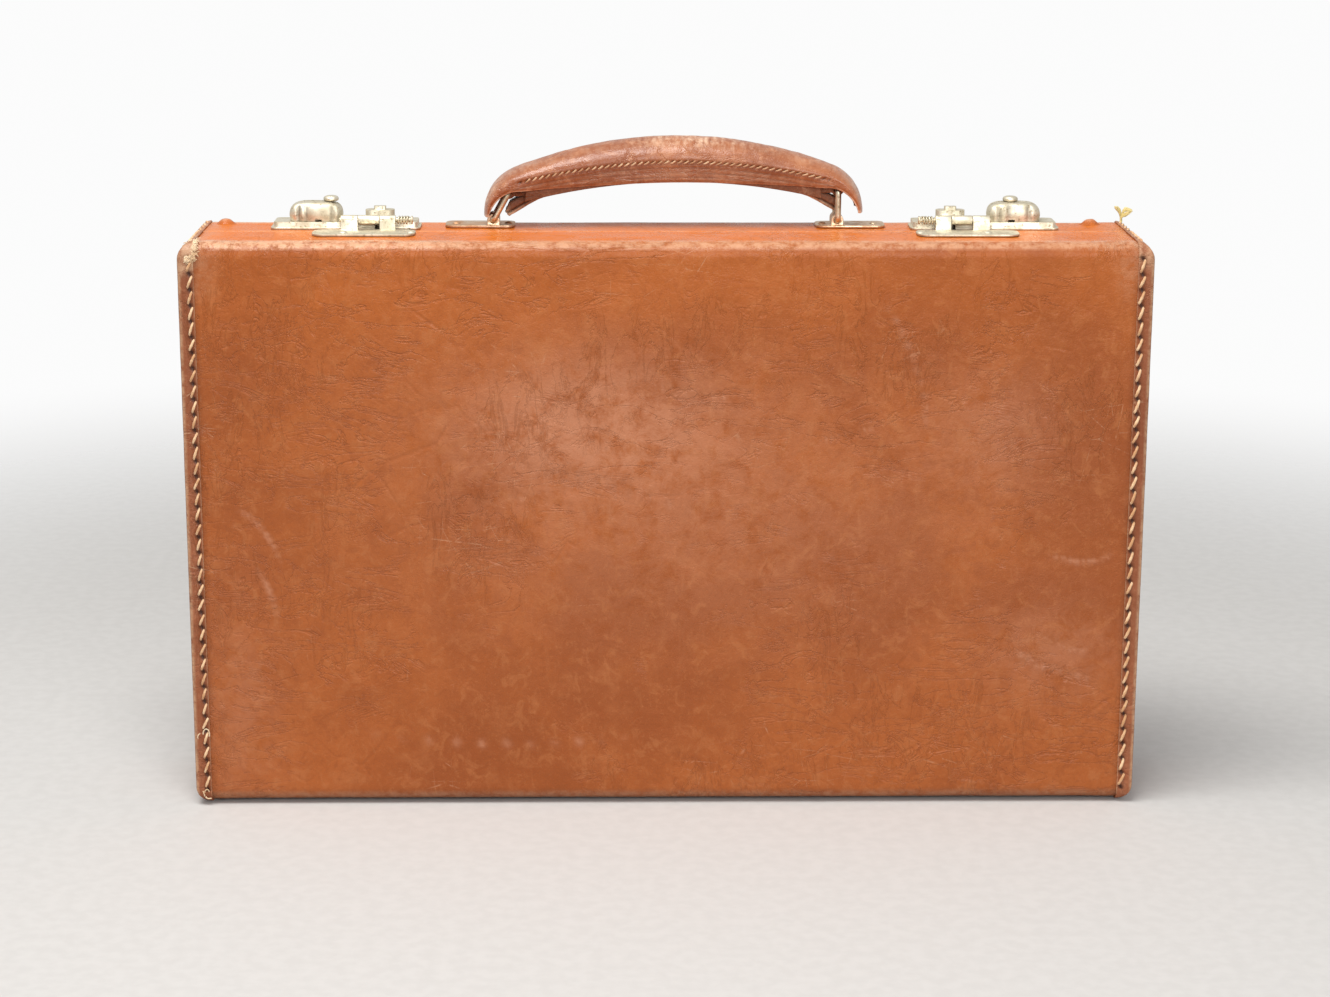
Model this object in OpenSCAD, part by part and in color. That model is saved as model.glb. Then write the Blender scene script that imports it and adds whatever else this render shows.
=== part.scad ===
// Small leather attache case standing on its hinge side, in millimetres.
// X runs along the case, Y through its depth and Z up. The near half at negative Y is the lid.

/* [Case] */
// Length of the case over the end leather
case_w = 356; // [330:1:400]
// Height of the leather from the hinge side to the handle side
case_h = 214; // [180:1:260]
// Depth of the closed case over both faces
case_d = 58; // [54:1:80]
// Radius of the long leather edges
edge_r = 5.5; // [4.5:0.1:7]
// Radius of the case's corners, seen from the front
corner_r = 7.5; // [6.5:0.1:9]

/* [Walls] */
// Thickness of the cover leather
leather_t = 2; // [1.8:0.1:2.4]
// Thickness of the fibre board
board_t = 3; // [2.4:0.1:4]
// Thickness of the lining
lining_t = 1; // [0.6:0.1:1.5]
// Gap between the rims of the closed halves
rim_gap = 0.3; // [0.2:0.05:0.5]
// Width of the end leather where it laps onto the faces
lap_w = 6.3; // [5.5:0.1:9]
// Height of the lapped end leather above the faces
lap_t = 0.8; // [0.5:0.05:0.9]
// Radius of the upright edges of the end leather
lap_round = 1.4; // [0.8:0.1:1.8]

/* [Seams] */
// Distance of the stitches from the end of the case
seam_in = 4.5; // [4:0.1:6]
// Distance from one stitch to the next
seam_pitch = 5.8; // [4:0.1:8]
// Length of one stitch
stitch_l = 4; // [2.5:0.1:5]
// Radius of the thread
thread_r = 0.45; // [0.3:0.05:0.5]
// Lean of a stitch from the line of the seam, in degrees
stitch_lean = 12; // [0:1:18]
// Width of the groove that the stitches lie in
groove_w = 2.6; // [2:0.1:2.9]
// Depth of that groove
groove_t = 0.3; // [0.1:0.05:0.4]

/* [Hinges] */
// Distance of each hinge's middle from the end of the case
hinge_in = 73; // [50:1:90]
// Length of a hinge
hinge_l = 50; // [35:1:65]
// Reach of a hinge leaf from the joint line
leaf_d = 20; // [16:0.5:24]
// Thickness of a hinge leaf, which is also how far the case stands up
leaf_t = 1; // [0.9:0.05:1.3]
// Outer radius of a knuckle
knuckle_r = 2; // [1.8:0.05:2.4]
// Radius of the hinge pin
pin_r = 1; // [0.8:0.05:1.2]
// Radial clearance of a pin in its bore
pin_fit = 0.05; // [0.03:0.01:0.09]
// Gap between neighbouring knuckles
knuckle_gap = 0.3; // [0.2:0.05:0.6]
// Number of knuckles in a hinge
knuckles = 5; // [3:2:7]
// Cut-back of both rims above the knuckles
rim_cut = 3; // [2.6:0.1:3.6]
// Radius of the hollow that the knuckles turn in
knuckle_hollow = 2.5; // [2.3:0.05:2.8]

/* [Rivets] */
// Radius of a rivet shank
rivet_r = 0.9; // [0.7:0.05:1.2]
// Radius of a rivet head
rivet_head = 1.7; // [1.4:0.05:2]
// Height of a rivet head
rivet_head_t = 0.7; // [0.5:0.05:0.9]
// Clearance of a rivet shank in its hole
rivet_fit = 0.05; // [0.02:0.01:0.1]

/* [Handle] */
// Distance of the handle from the joint line, towards the body half
handle_y = 15; // [13.5:0.5:17]
// Height of the handle's crown above the case
crown_z = 34.1; // [32:0.1:42]
// Radius of the crown line
crown_r = 162; // [150:1:200]
// Half length of the crown line
crown_x = 60; // [59:0.1:62]
// Radius of the curl at each end
curl_r = 18; // [17:0.5:20]
// Straight end below the curl
curl_end = 0.5; // [0.2:0.1:0.8]
// Half width of the domed cover
grip_b = 10.8; // [10.4:0.1:12]
// Height of the domed cover
grip_dome = 8.4; // [8:0.1:9]
// Half width of the cover at its lower edge
grip_skirt = 9.2; // [8.4:0.1:9.8]
// Height of the domed cover where the crown line ends
curl_dome = 4.4; // [4:0.1:5]
// Height of the domed cover at its two ends
end_dome = 1.9; // [1.9:0.1:3]
// Depth of the cover where the crown line ends
curl_d = 8.4; // [7.5:0.1:9.5]
// Depth of the cover at its two ends
end_d = 2.3; // [2.2:0.1:3.5]
// Depth of the handle from crown to underside
grip_d = 16.7; // [16:0.1:18]
// Radius of the underside line
under_r = 230; // [200:1:260]
// Thickness of the handle leather
grip_t = 1.6; // [1.2:0.1:1.8]
// Gap between the pieces inside the handle
grip_gap = 0.1; // [0.05:0.01:0.2]
// Distance from one handle stitch to the next
grip_pitch = 2.6; // [2:0.1:4]

/* [Rings] */
// Distance of a ring's staple from the middle of the case
ring_x = 64.7; // [62:0.1:68]
// Radius of the ring wire
wire_r = 1.2; // [1:0.05:1.3]
// Distance between the two long bars of a ring
ring_h = 12; // [11:0.1:13]
// Half length of a ring's bars
ring_b = 6.4; // [6.2:0.1:6.6]
// Lean of the left ring at rest, in degrees
ring_lean = 28.9; // [10:0.1:32]
// Height of the ring's lower bar above the leather
staple_z = 2.6; // [2.4:0.05:3]
// Outer radius of a staple
staple_r = 2.3; // [2:0.05:2.4]
// Half length of a staple
staple_b = 4.8; // [4:0.1:4.9]
// Outer radius of the strap loop round a ring
loop_r = 2.6; // [2.3:0.05:2.8]
// Half length of that loop
loop_b = 4.4; // [3.6:0.1:4.6]
// Clearance of the open right-hand loop round its ring
open_fit = 0.5; // [0.3:0.05:0.8]
// Thickness of a handle plate
plate_t = 0.9; // [0.7:0.05:1]
// Half width of a handle plate
plate_b = 6.6; // [5:0.1:7]
// Inner end of a handle plate, from its staple
plate_in = 8; // [7:0.1:9]
// Outer end of a handle plate, from its staple
plate_out = 18; // [15:0.1:22]
// Least gap between that plate and a lock plate
plate_gap = 1; // [0.5:0.1:3]

/* [Locks] */
// Distance of a hasp's middle from the end of the case
lock_end = 71.2; // [66:0.1:78]
// Height of a lock plate's raised deck above the leather
deck_z = 2.8; // [2.6:0.1:3]
// Thickness of the lock metal
metal_t = 0.8; // [0.6:0.05:1]
// Radius of the hasp barrel
barrel_r = 1.8; // [1.6:0.05:2]
// Distance of the barrel from the joint line, towards the body half
barrel_y = 1; // [0.5:0.1:1.5]
// Height of the barrel's axis above the leather
barrel_z = 4.1; // [3.8:0.1:4.4]
// Radius of the barrel pin
barrel_pin = 0.8; // [0.6:0.05:0.9]
// Length of the lid plate of a lock
lid_plate_l = 38; // [34:0.5:42]
// Distance of the lid plate's near edge from the joint line
lid_plate_b = 13.5; // [12:0.5:16]
// Inner end of the lock plate, from the hasp's middle
lock_in = 15; // [14.6:0.1:17]
// Outer end of the lock plate, from the hasp's middle
lock_out = 40.7; // [39:0.1:44]
// Near edge of the lock plate, from the joint line
lock_y0 = 3.3; // [3.2:0.1:3.8]
// Far edge of the lock plate, from the joint line
lock_y1 = 17.6; // [17:0.1:19]
// Inner end of the lock's domed case, from the hasp's middle
dome_in = 14; // [13.8:0.1:14.6]
// Length of the domed case
dome_l = 20; // [18:0.1:22]
// Near edge of the domed case, from the joint line
dome_y0 = 4; // [3.8:0.1:4.5]
// Width of the domed case
dome_b = 12; // [11:0.1:13]
// Height of the domed case above the leather
dome_z = 10; // [9.6:0.1:10.6]
// Wall of the domed case
dome_t = 0.9; // [0.7:0.05:1]
// Radius of the domed case's long edges
dome_r = 3.6; // [2:0.1:4]
// Radius of the domed case's short edges
dome_end_r = 3.2; // [2:0.1:3.4]
// Radius of the slide knob
knob_r = 2.8; // [2:0.05:2.9]
// Place of the left knob from the hasp's middle
knob_left = 18.4; // [16.8:0.1:20]
// Place of the right knob from the hasp's middle
knob_right = 22.8; // [20:0.1:24.6]
// Width of the hasp
hasp_w = 10.8; // [9:0.1:12]
// Far end of the hasp, from the joint line
hasp_y1 = 12.4; // [12.3:0.1:13]
// Height of the hasp's oblong boss above the leather
boss_z = 7.1; // [6.8:0.1:7.4]
// Height of the hasp's nub above the leather
nub_z = 8.4; // [8:0.1:8.8]
// Width of the nub
nub_w = 4.4; // [3:0.1:5]
// Width of the lug below the hasp
lug_w = 2.4; // [2:0.1:2.6]
// Clearance between sliding lock pieces
slide_fit = 0.3; // [0.2:0.05:0.4]
// Turns of the hasp spring
spring_turns = 4; // [3:1:5]

/* [Studs] */
// Distance of the leather studs from the ends of the case
stud_end = 14.2; // [12:0.1:20]
// How far both studs sit to the left of that
stud_shift = 2.2; // [0:0.1:3]
// Radius of a leather stud
stud_r = 4.1; // [2.5:0.1:4.6]
// Height of a leather stud
stud_h = 2; // [1:0.1:2.5]
// Distance of the leather studs from the joint line
stud_y = 19.5; // [12:0.5:20]

/* [Hidden] */
$fn = 48;
top_z = leaf_t + case_h;
half_d = case_d / 2;
wrap_l = case_w - 2 * leather_t;
inner = leather_t + board_t;
hinge_z = knuckle_r;
hinge_x = case_w / 2 - hinge_in;
lock_x = max(case_w / 2 - lock_end, ring_x + plate_out + plate_gap + lock_in);
stud_x = case_w / 2 - stud_end;
leaf_y = knuckle_r + knuckle_gap;
knuckle_l = (hinge_l - (knuckles - 1) * knuckle_gap) / knuckles;
rivet_l = inner;
barrel_in = -12;
barrel_out = 14;
k1_l = 6.2;
k2_l = 7.6;
k3_l = 5.8;
under_z = crown_z - grip_d;
crown_phi = asin(crown_x / crown_r);
crown_end = crown_z - crown_r * (1 - cos(crown_phi));
eye_x = (2 * ring_x - ring_h * sin(ring_lean)) / 2;
eye_z = staple_z + ring_h * (1 + cos(ring_lean)) / 2;
handle_x = ring_h * sin(ring_lean) / 2;
handle_tilt = -atan(ring_h * (1 - cos(ring_lean)) / (2 * eye_x));
hook_l = 3;
hook_bar = 1.2;
knob_in = 16.8;
knob_out = 27.8;
knob_tip = 26.2;
neck_z = deck_z + 3.5;
bar_z0 = -1.6;
bar_z1 = -0.4;
bar_y0 = 11.5;
bar_y1 = 13.4;
lug_y0 = 6;
lug_y1 = 10;
lug_z = -1.8;
slide_y = 10;

leather = "#b5673a";
leather_dark = "#7a4526";
nickel = "#cfc8b4";
brass = "#c8b27a";
thread = "#e0b088";
board = "#8f7a5e";
lining = "#b08a5c";

// Copies mirrored to the left of the case when s is negative.
module side(s) {
    mirror([s < 0 ? 1 : 0, 0, 0]) children();
}

// Copies mirrored to the lid half when s is negative.
module half(s) {
    mirror([0, s < 0 ? 1 : 0, 0]) children();
}

// A flat outline in Y and Z, carried along X about the middle.
module along_x(l) {
    rotate([90, 0, 90]) translate([0, 0, -l / 2]) linear_extrude(l) children();
}

// A rounded rectangle between two corners.
module round_rect(x0, y0, x1, y1, r) {
    translate([x0 + r, y0]) square([x1 - x0 - 2 * r, y1 - y0]);
    translate([x0, y0 + r]) square([x1 - x0, y1 - y0 - 2 * r]);
    for (x = [x0 + r, x1 - r]) {
        for (y = [y0 + r, y1 - r]) {
            translate([x, y]) circle(r);
        }
    }
}

// A low dome on a flat, r wide from its middle and h high.
module low_dome(r, h) {
    ball = (r * r + h * h) / (2 * h);
    intersection() {
        translate([0, 0, h - ball]) sphere(ball);
        cylinder(h = h + 1, r = r + 1);
    }
}

// Front outline of the case with rounded corners, drawn in by ix and iz, through the whole depth.
module front_form(ix, iz, r) {
    rotate([90, 0, 0]) translate([0, 0, -case_d]) linear_extrude(2 * case_d)
        round_rect(-case_w / 2 + ix, leaf_t + iz, case_w / 2 - ix, top_z - iz, r);
}

// A flat plate with rounded corners.
module round_plate(x0, y0, x1, y1, r, z0, z1) {
    translate([0, 0, z0]) linear_extrude(z1 - z0) round_rect(x0, y0, x1, y1, r);
}

// A plain block between two corners.
module block(a, b) {
    translate(a) cube([b[0] - a[0], b[1] - a[1], b[2] - a[2]]);
}

// Outline of one half, drawn in by i, from y0 out to the face.
module half_outline(i, y0) {
    r = max(edge_r - i, 0.4);
    y1 = half_d - i;
    z0 = leaf_t + i;
    z1 = top_z - i;
    translate([y0, z0]) square([y1 - r - y0, z1 - z0]);
    translate([y0, z0 + r]) square([y1 - y0, z1 - z0 - 2 * r]);
    for (z = [z0 + r, z1 - r]) {
        translate([y1 - r, z]) circle(r);
    }
}

module half_block(i, y0, l) {
    along_x(l) half_outline(i, y0);
}

// What the rims lose above the knuckles.
module rim_relief() {
    along_x(case_w + 2) {
        translate([0, hinge_z]) circle(knuckle_hollow);
        polygon([[-1, leaf_t - 2], [rim_gap / 2 + rim_cut + 2, leaf_t - 2],
            [rim_gap / 2 + rim_cut, leaf_t], [rim_gap / 2, leaf_t + rim_cut],
            [-1, leaf_t + rim_cut]]);
    }
}

// Rivet places on each hinge leaf, from the hinge's middle.
function leaf_rivets() = [for (x = [-1, 0, 1]) [x * hinge_l * 0.36, x == 0 ? leaf_d * 0.5 : leaf_d * 0.7]];

module hinge_holes(r) {
    for (s = [-1, 1]) {
        for (p = leaf_rivets()) {
            translate([s * hinge_x + p[0], p[1], -1]) cylinder(h = inner + 3, r = r);
        }
    }
}

// Rivet places of the handle plates, from the staple.
handle_rivet_u = [-plate_in + 2.4, plate_out - 4];

// Rivet places of the lock plates, from the hasp's middle.
lock_rivet_p = [[-9.3, lock_y1 - 2], [11, lock_y1 - 2]];
lid_rivet_p = [[lid_plate_l / 2 - 6.5, -lid_plate_b / 2 - 1.5],
    [-lid_plate_l / 2 + 6.5, -lid_plate_b / 2 - 1.5]];

module top_hole(x, y, r) {
    translate([x, y, top_z - inner - 1]) cylinder(h = inner + 2, r = r);
}

module body_top_holes(r) {
    for (s = [-1, 1]) {
        for (u = handle_rivet_u) {
            top_hole(s * (ring_x + u), handle_y, r);
        }
        for (p = lock_rivet_p) {
            top_hole(s * (lock_x + p[0]), p[1], r);
        }
    }
}

module lid_top_holes(r) {
    for (s = [-1, 1]) {
        for (p = lid_rivet_p) {
            top_hole(s * (lock_x + p[0]), -p[1], r);
        }
    }
}

// Window in the leather below each lock plate, for the bolt and the lug.
module lock_windows() {
    for (s = [-1, 1]) {
        side(s) translate([lock_x, 0, top_z - leather_t]) {
            block([-lock_in + 0.6, 4.4, -0.5], [dome_in + dome_l, bar_y1 + 0.3, leather_t + 1]);
            block([-lug_w / 2 - 0.5, -1, -0.5], [lug_w / 2 + 0.5, 5, leather_t + 1]);
        }
    }
}

module wrap(s) {
    color(leather) half(s) difference() {
        intersection() {
            half_block(0, rim_gap / 2, wrap_l);
            front_form(leather_t, 0, corner_r - leather_t);
        }
        half_block(leather_t, -1, wrap_l + 2);
        rim_relief();
        hinge_holes(rivet_r + rivet_fit);
        if (s > 0) {
            body_top_holes(rivet_r + rivet_fit);
            lock_windows();
        }
        if (s < 0) {
            lid_top_holes(rivet_r + rivet_fit);
        }
    }
}

module board_tray(s) {
    color(board) half(s) difference() {
        intersection() {
            half_block(leather_t, rim_gap / 2, wrap_l);
            front_form(leather_t, leather_t, corner_r - 2 * leather_t);
        }
        half_block(inner, -1, wrap_l - 2 * board_t);
        rim_relief();
        hinge_holes(rivet_r + rivet_fit);
        if (s > 0) {
            body_top_holes(rivet_r + rivet_fit);
        }
        if (s < 0) {
            lid_top_holes(rivet_r + rivet_fit);
        }
    }
}

module lining_tray(s) {
    color(lining) half(s) difference() {
        half_block(inner, rim_gap / 2, wrap_l - 2 * board_t);
        half_block(inner + lining_t, -1, wrap_l - 2 * board_t - 2 * lining_t);
    }
}

// Thin slice of the end leather's outline, for the rounded upright edges.
module end_slice(x, i) {
    translate([x, 0, 0]) along_x(0.02) half_outline(i - lap_t, rim_gap / 2);
}

module end_leather(s, e) {
    x1 = case_w / 2;
    x0 = x1 - lap_w;
    color(leather) half(s) side(e) difference() {
        intersection() {
            hull() {
                end_slice(x0 + 0.01, 0);
                for (a = [0, 22.5, 45, 67.5, 90]) {
                    end_slice(x1 - lap_round * (1 - sin(a)) - 0.01, lap_round * (1 - cos(a)));
                }
            }
            front_form(0, -lap_t, corner_r);
        }
        intersection() {
            half_block(0, -1, wrap_l);
            front_form(leather_t, 0, corner_r - leather_t);
        }
        rim_relief();
        translate([x1 - seam_in - groove_w / 2, half_d + lap_t - groove_t, leaf_t + edge_r])
            cube([groove_w, 2, case_h - 2 * edge_r]);
    }
}

// One stitch, leaned a little from the line of its seam.
module stitch(l, lean) {
    rotate([lean, 0, 0]) cylinder(h = l, r = thread_r, center = true, $fn = 6);
}

// Tilt of the top at the seam, where the rounded corner has begun.
seam_tilt = asin(max(corner_r - seam_in, 0) / corner_r);

module seam(s) {
    x = case_w / 2 - seam_in;
    lift = lap_t - groove_t + thread_r;
    face_n = floor((case_h - 2 * edge_r - 4) / seam_pitch);
    side_n = floor((half_d - edge_r - 4) / seam_pitch);
    color(thread) half(s) for (e = [-1, 1]) {
        side(e) {
            for (i = [0 : face_n]) {
                translate([x, half_d + lift, leaf_t + case_h / 2 + (i - face_n / 2) * seam_pitch])
                    rotate([0, 0, 90]) stitch(stitch_l, e * s * stitch_lean);
            }
            for (i = [0 : side_n]) {
                translate([case_w / 2 - corner_r, half_d - edge_r - 2 - i * seam_pitch,
                    top_z + lap_t - corner_r]) rotate([0, seam_tilt, 0])
                    translate([0, 0, corner_r + thread_r]) rotate([90, 0, 0])
                    rotate([0, 0, 90]) stitch(stitch_l, stitch_lean);
            }
        }
    }
}

// Leaf of a hinge, drawn towards positive Y. Odd leaves carry the knuckles between the others.
module leaf(odd) {
    difference() {
        union() {
            block([-hinge_l / 2, leaf_y, 0], [hinge_l / 2, leaf_d, leaf_t]);
            for (i = [0 : knuckles - 1]) {
                if (i % 2 == odd) {
                    x = -hinge_l / 2 + i * (knuckle_l + knuckle_gap);
                    block([x, 0, 0], [x + knuckle_l, leaf_y + 0.5, leaf_t]);
                    translate([x, 0, hinge_z]) rotate([0, 90, 0]) cylinder(h = knuckle_l, r = knuckle_r);
                }
            }
        }
        translate([-hinge_l, 0, hinge_z]) rotate([0, 90, 0]) cylinder(h = 2 * hinge_l, r = pin_r + pin_fit);
        for (p = leaf_rivets()) {
            translate([p[0], p[1], -1]) cylinder(h = leaf_t + 2, r = rivet_r + rivet_fit);
        }
    }
}

module hinge_leaf(e, s) {
    color(brass) translate([e * hinge_x, 0, 0]) half(s) leaf(s > 0 ? 0 : 1);
}

module hinge_pin(e) {
    color(brass) translate([e * hinge_x - hinge_l / 2, 0, hinge_z]) rotate([0, 90, 0])
        cylinder(h = hinge_l, r = pin_r);
}

module hinge_rivets(s) {
    color(brass) half(s) for (e = [-1, 1]) {
        for (p = leaf_rivets()) {
            translate([e * hinge_x + p[0], p[1], 0]) cylinder(h = leaf_t + inner, r = rivet_r);
        }
    }
}

// A rivet with a low domed head, standing on z.
module rivet(x, y, z) {
    translate([x, y, 0]) {
        translate([0, 0, top_z - rivet_l]) cylinder(h = z - top_z + rivet_l + 0.1, r = rivet_r);
        translate([0, 0, z]) low_dome(rivet_head, rivet_head_t);
    }
}

// Handle: the crown line in X and Z by the tilt of its tangent, in degrees.
function crown_pt(p) = abs(p) <= crown_phi
    ? [crown_r * sin(p), crown_z - crown_r * (1 - cos(p))]
    : [sign(p) * (crown_x + curl_r * (sin(abs(p)) - sin(crown_phi))),
        crown_end - curl_r * (cos(crown_phi) - cos(p))];

// How far a tilt is on its way along the crown line, and then round the curl, from 0 to 1.
function on_crown(p) = min(abs(p) / crown_phi, 1);
function on_curl(p) = max(abs(p) - crown_phi, 0) / (90 - crown_phi);

function dome_at(p) = grip_dome - (grip_dome - curl_dome) * pow(on_crown(p), 2.2)
    - (curl_dome - end_dome) * on_curl(p);

function skirt_at(p) = grip_d - (grip_d - curl_d) * pow(on_crown(p), 2.2) - (curl_d - end_d) * on_curl(p);

// Stations along the handle: [tilt, drop below the curl].
handle_stations = concat([[-90, curl_end]], [for (p = [-90 : 10 : -30]) [p, 0]], [[-24, 0]],
    [for (i = [-8 : 8]) [i / 8 * crown_phi, 0]],
    [[24, 0]], [for (p = [30 : 10 : 90]) [p, 0]], [[90, curl_end]]);

core_stations = [for (i = [-8 : 8]) [i / 8 * (crown_phi - 0.8), 0]];

// A point of a cross-section, n below the crown line and y to the side, at a station.
function lay(st, y, n) = let (c = crown_pt(st[0]))
    [c[0] - n * sin(st[0]), y, c[1] - st[1] - n * cos(st[0])];

function lip_at(p) = abs(p) <= crown_phi ? grip_skirt : grip_b - 0.1;

function cover_ring(st) = let (h = dome_at(st[0]), d = skirt_at(st[0]),
        b1 = lip_at(st[0]), b2 = b1 - grip_t, bi = grip_b - grip_t)
    concat(
        [lay(st, -b1, d)],
        [for (a = [180 : -18 : 0]) lay(st, grip_b * cos(a), h * (1 - sin(a)))],
        [lay(st, b1, d), lay(st, b2, d)],
        [for (a = [0 : 18 : 180]) lay(st, bi * cos(a), grip_t + (h - grip_t) * (1 - sin(a)))],
        [lay(st, -b2, d)]);

function core_ring(st) = let (t = grip_t + grip_gap, b = grip_b - t)
    [for (a = [180 : -15 : 0]) lay(st, b * cos(a), t + (dome_at(st[0]) - grip_gap - t) * (1 - sin(a)))];

// Faces that close a ring of n points from its first point on, as one face, or in pairs across a
// thin ring whose outer and inner points answer each other.
function end_faces(n, thin) = thin
    ? [for (k = [0 : n / 2 - 2]) each [[k, k + 1, n - 1 - k], [k + 1, n - 2 - k, n - 1 - k]]]
    : [[for (i = [0 : n - 1]) i]];

function turned(faces, from) = [for (f = faces) [for (i = [len(f) - 1 : -1 : 0]) f[i] + from]];

// A skin over rings of equal count, with flat ends.
module skin(rings, thin = false) {
    n = len(rings[0]);
    m = len(rings);
    polyhedron(
        points = [for (r = rings) each r],
        faces = concat(
            turned(end_faces(n, thin), 0),
            [for (j = [0 : m - 2]) for (i = [0 : n - 1]) each
                let (a = j * n + i, b = j * n + (i + 1) % n) [[a, b, a + n], [b, b + n, a + n]]],
            [for (f = end_faces(n, thin)) [for (i = f) i + (m - 1) * n]]));
}

// Places what is drawn about the handle's own middle.
module on_handle() {
    translate([handle_x, handle_y, top_z]) translate([0, 0, eye_z]) rotate([0, handle_tilt, 0])
        translate([0, 0, -eye_z]) children();
}

module ring(e, lean) {
    color(nickel) translate([e * ring_x, handle_y, top_z + staple_z]) rotate([0, lean, 0]) {
        for (z = [0, ring_h]) {
            translate([0, 0, z]) rotate([90, 0, 0]) cylinder(h = 2 * ring_b, r = wire_r, center = true);
        }
        for (y = [-ring_b, ring_b]) {
            translate([0, y, 0]) cylinder(h = ring_h, r = wire_r);
            translate([0, y, 0]) sphere(wire_r);
            translate([0, y, ring_h]) sphere(wire_r);
        }
    }
}

module handle_plate(e) {
    color(nickel) side(e) translate([ring_x, handle_y, top_z]) difference() {
        union() {
            round_plate(-plate_in, -plate_b, plate_out, plate_b, 3, 0, plate_t);
            translate([0, 0, staple_z]) rotate([90, 0, 0])
                cylinder(h = 2 * staple_b, r = staple_r, center = true);
            block([-staple_r, -staple_b, plate_t / 2], [staple_r, staple_b, staple_z]);
        }
        translate([0, 0, staple_z]) rotate([90, 0, 0])
            cylinder(h = 4 * ring_b, r = wire_r + pin_fit, center = true);
        for (u = handle_rivet_u) {
            translate([u, 0, -1]) cylinder(h = 3, r = rivet_r + rivet_fit);
        }
    }
}

// Lock pieces are drawn on the right, about the hasp's middle, with z = 0 at the leather.
module at_lock(e) {
    side(e) translate([lock_x, 0, top_z]) children();
}

// Part of the barrel between two places along it.
module barrel(u0, u1, r) {
    translate([u0, barrel_y, barrel_z]) rotate([0, 90, 0]) cylinder(h = u1 - u0, r = r);
}

k1 = [barrel_out - k1_l, barrel_out];
k2 = [k1[0] - knuckle_gap - k2_l, k1[0] - knuckle_gap];
k3 = [k2[0] - knuckle_gap - k3_l, k2[0] - knuckle_gap];
coil = [barrel_in + 0.6, k3[0] - knuckle_gap];

module hasp_plate(e) {
    color(nickel) at_lock(e) difference() {
        union() {
            round_plate(-lid_plate_l / 2 + 5, -lid_plate_b, lid_plate_l / 2 + 5, -0.6, 4.5, 0, metal_t);
            for (k = [k1, k3]) {
                barrel(k[0], k[1], barrel_r);
                block([k[0], -1.2, 0], [k[1], barrel_y, barrel_z]);
            }
        }
        barrel(-30, 30, barrel_pin + pin_fit);
        for (p = lid_rivet_p) {
            translate([p[0], p[1], -1]) cylinder(h = deck_z + 2, r = rivet_r + rivet_fit);
        }
    }
}

module hasp(e) {
    z0 = deck_z + slide_fit;
    color(nickel) at_lock(e) difference() {
        union() {
            barrel(k2[0], k2[1], barrel_r);
            block([k2[0], barrel_y, z0], [k2[1], 4, z0 + metal_t]);
            round_plate(-hasp_w / 2, 3.2, hasp_w / 2 + 0.9, hasp_y1, 1.5, z0, z0 + metal_t);
            round_plate(-hasp_w / 2, 5, hasp_w / 2, 11, 2.6, z0 + metal_t / 2, boss_z);
            round_plate(-nub_w / 2, 6.5, nub_w / 2, 9.5, 0.6, boss_z - 1, nub_z);
            block([-lug_w / 2, lug_y0, lug_z], [lug_w / 2, lug_y1, z0 + 0.2]);
        }
        barrel(-30, 30, barrel_pin + pin_fit);
        block([-5, lug_y0 + 1, bar_z0 + 0.3], [5, lug_y1 - 1, bar_z1 + 0.2]);
    }
}

module hasp_pin(e) {
    color(nickel) at_lock(e) {
        barrel(barrel_in, barrel_out + 0.6, barrel_pin);
        barrel(barrel_in - 0.6, barrel_in, barrel_r - 0.3);
    }
}

// Coil round the pin, as a tube swept along a rising circle.
coil_wire = 0.35;
coil_r = barrel_pin + 0.1 + coil_wire;
coil_steps = spring_turns * 16;

function coil_ring(i) = let (a = 360 * i / 16,
        x = coil[0] + coil_wire + (coil[1] - coil[0] - 2 * coil_wire) * i / coil_steps)
    [for (b = [0 : 60 : 300])
        [x + coil_wire * sin(b), barrel_y + (coil_r + coil_wire * cos(b)) * cos(a),
            barrel_z + (coil_r + coil_wire * cos(b)) * sin(a)]];

module hasp_spring(e) {
    color(nickel) at_lock(e) skin([for (i = [0 : coil_steps]) coil_ring(i)]);
}

module lock_plate(e) {
    color(nickel) at_lock(e) difference() {
        union() {
            round_plate(-lock_in, lock_y0, lock_out, lock_y1, 2.2, 0, metal_t);
            round_plate(-lock_in + 1, lock_y0 + 0.7, lock_out - 1.2, lock_y1 - 0.7, 1.7, metal_t / 2, deck_z);
        }
        block([-lug_w / 2 - 0.5, -1, -1], [lug_w / 2 + 0.5, 12.1, deck_z + 1]);
        block([dome_in + dome_t, bar_y0 - 0.3, -1], [dome_in + dome_l - dome_t, bar_y1 + 0.3, deck_z + 1]);
        for (p = lock_rivet_p) {
            translate([p[0], p[1], -1]) cylinder(h = deck_z + 2, r = rivet_r + rivet_fit);
        }
    }
}

// Rounded box over the bolt, drawn in by i.
module dome_form(i) {
    u0 = dome_in + i;
    u1 = dome_in + dome_l - i;
    y0 = dome_y0 + i;
    y1 = dome_y0 + dome_b - i;
    z1 = dome_z - i;
    intersection() {
        translate([(u0 + u1) / 2, 0, 0]) along_x(u1 - u0) round_rect(y0, -6, y1, z1, dome_r - i);
        translate([0, (y0 + y1) / 2, 0]) rotate([90, 0, 0]) translate([0, 0, -(y1 - y0) / 2])
            linear_extrude(y1 - y0) round_rect(u0, -6, u1, z1, dome_end_r - i / 2);
        round_plate(u0, y0, u1, y1, dome_end_r - i / 2, deck_z, z1 + 1);
    }
}

module lock_case(e) {
    color(nickel) at_lock(e) difference() {
        dome_form(0);
        translate([0, 0, -0.1]) dome_form(dome_t);
        block([knob_in - 1.2, slide_y - 1, dome_z - 3], [knob_out + 1.2, slide_y + 1, dome_z + 1]);
    }
}

function knob_u(e) = e < 0 ? knob_left : knob_right;

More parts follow.
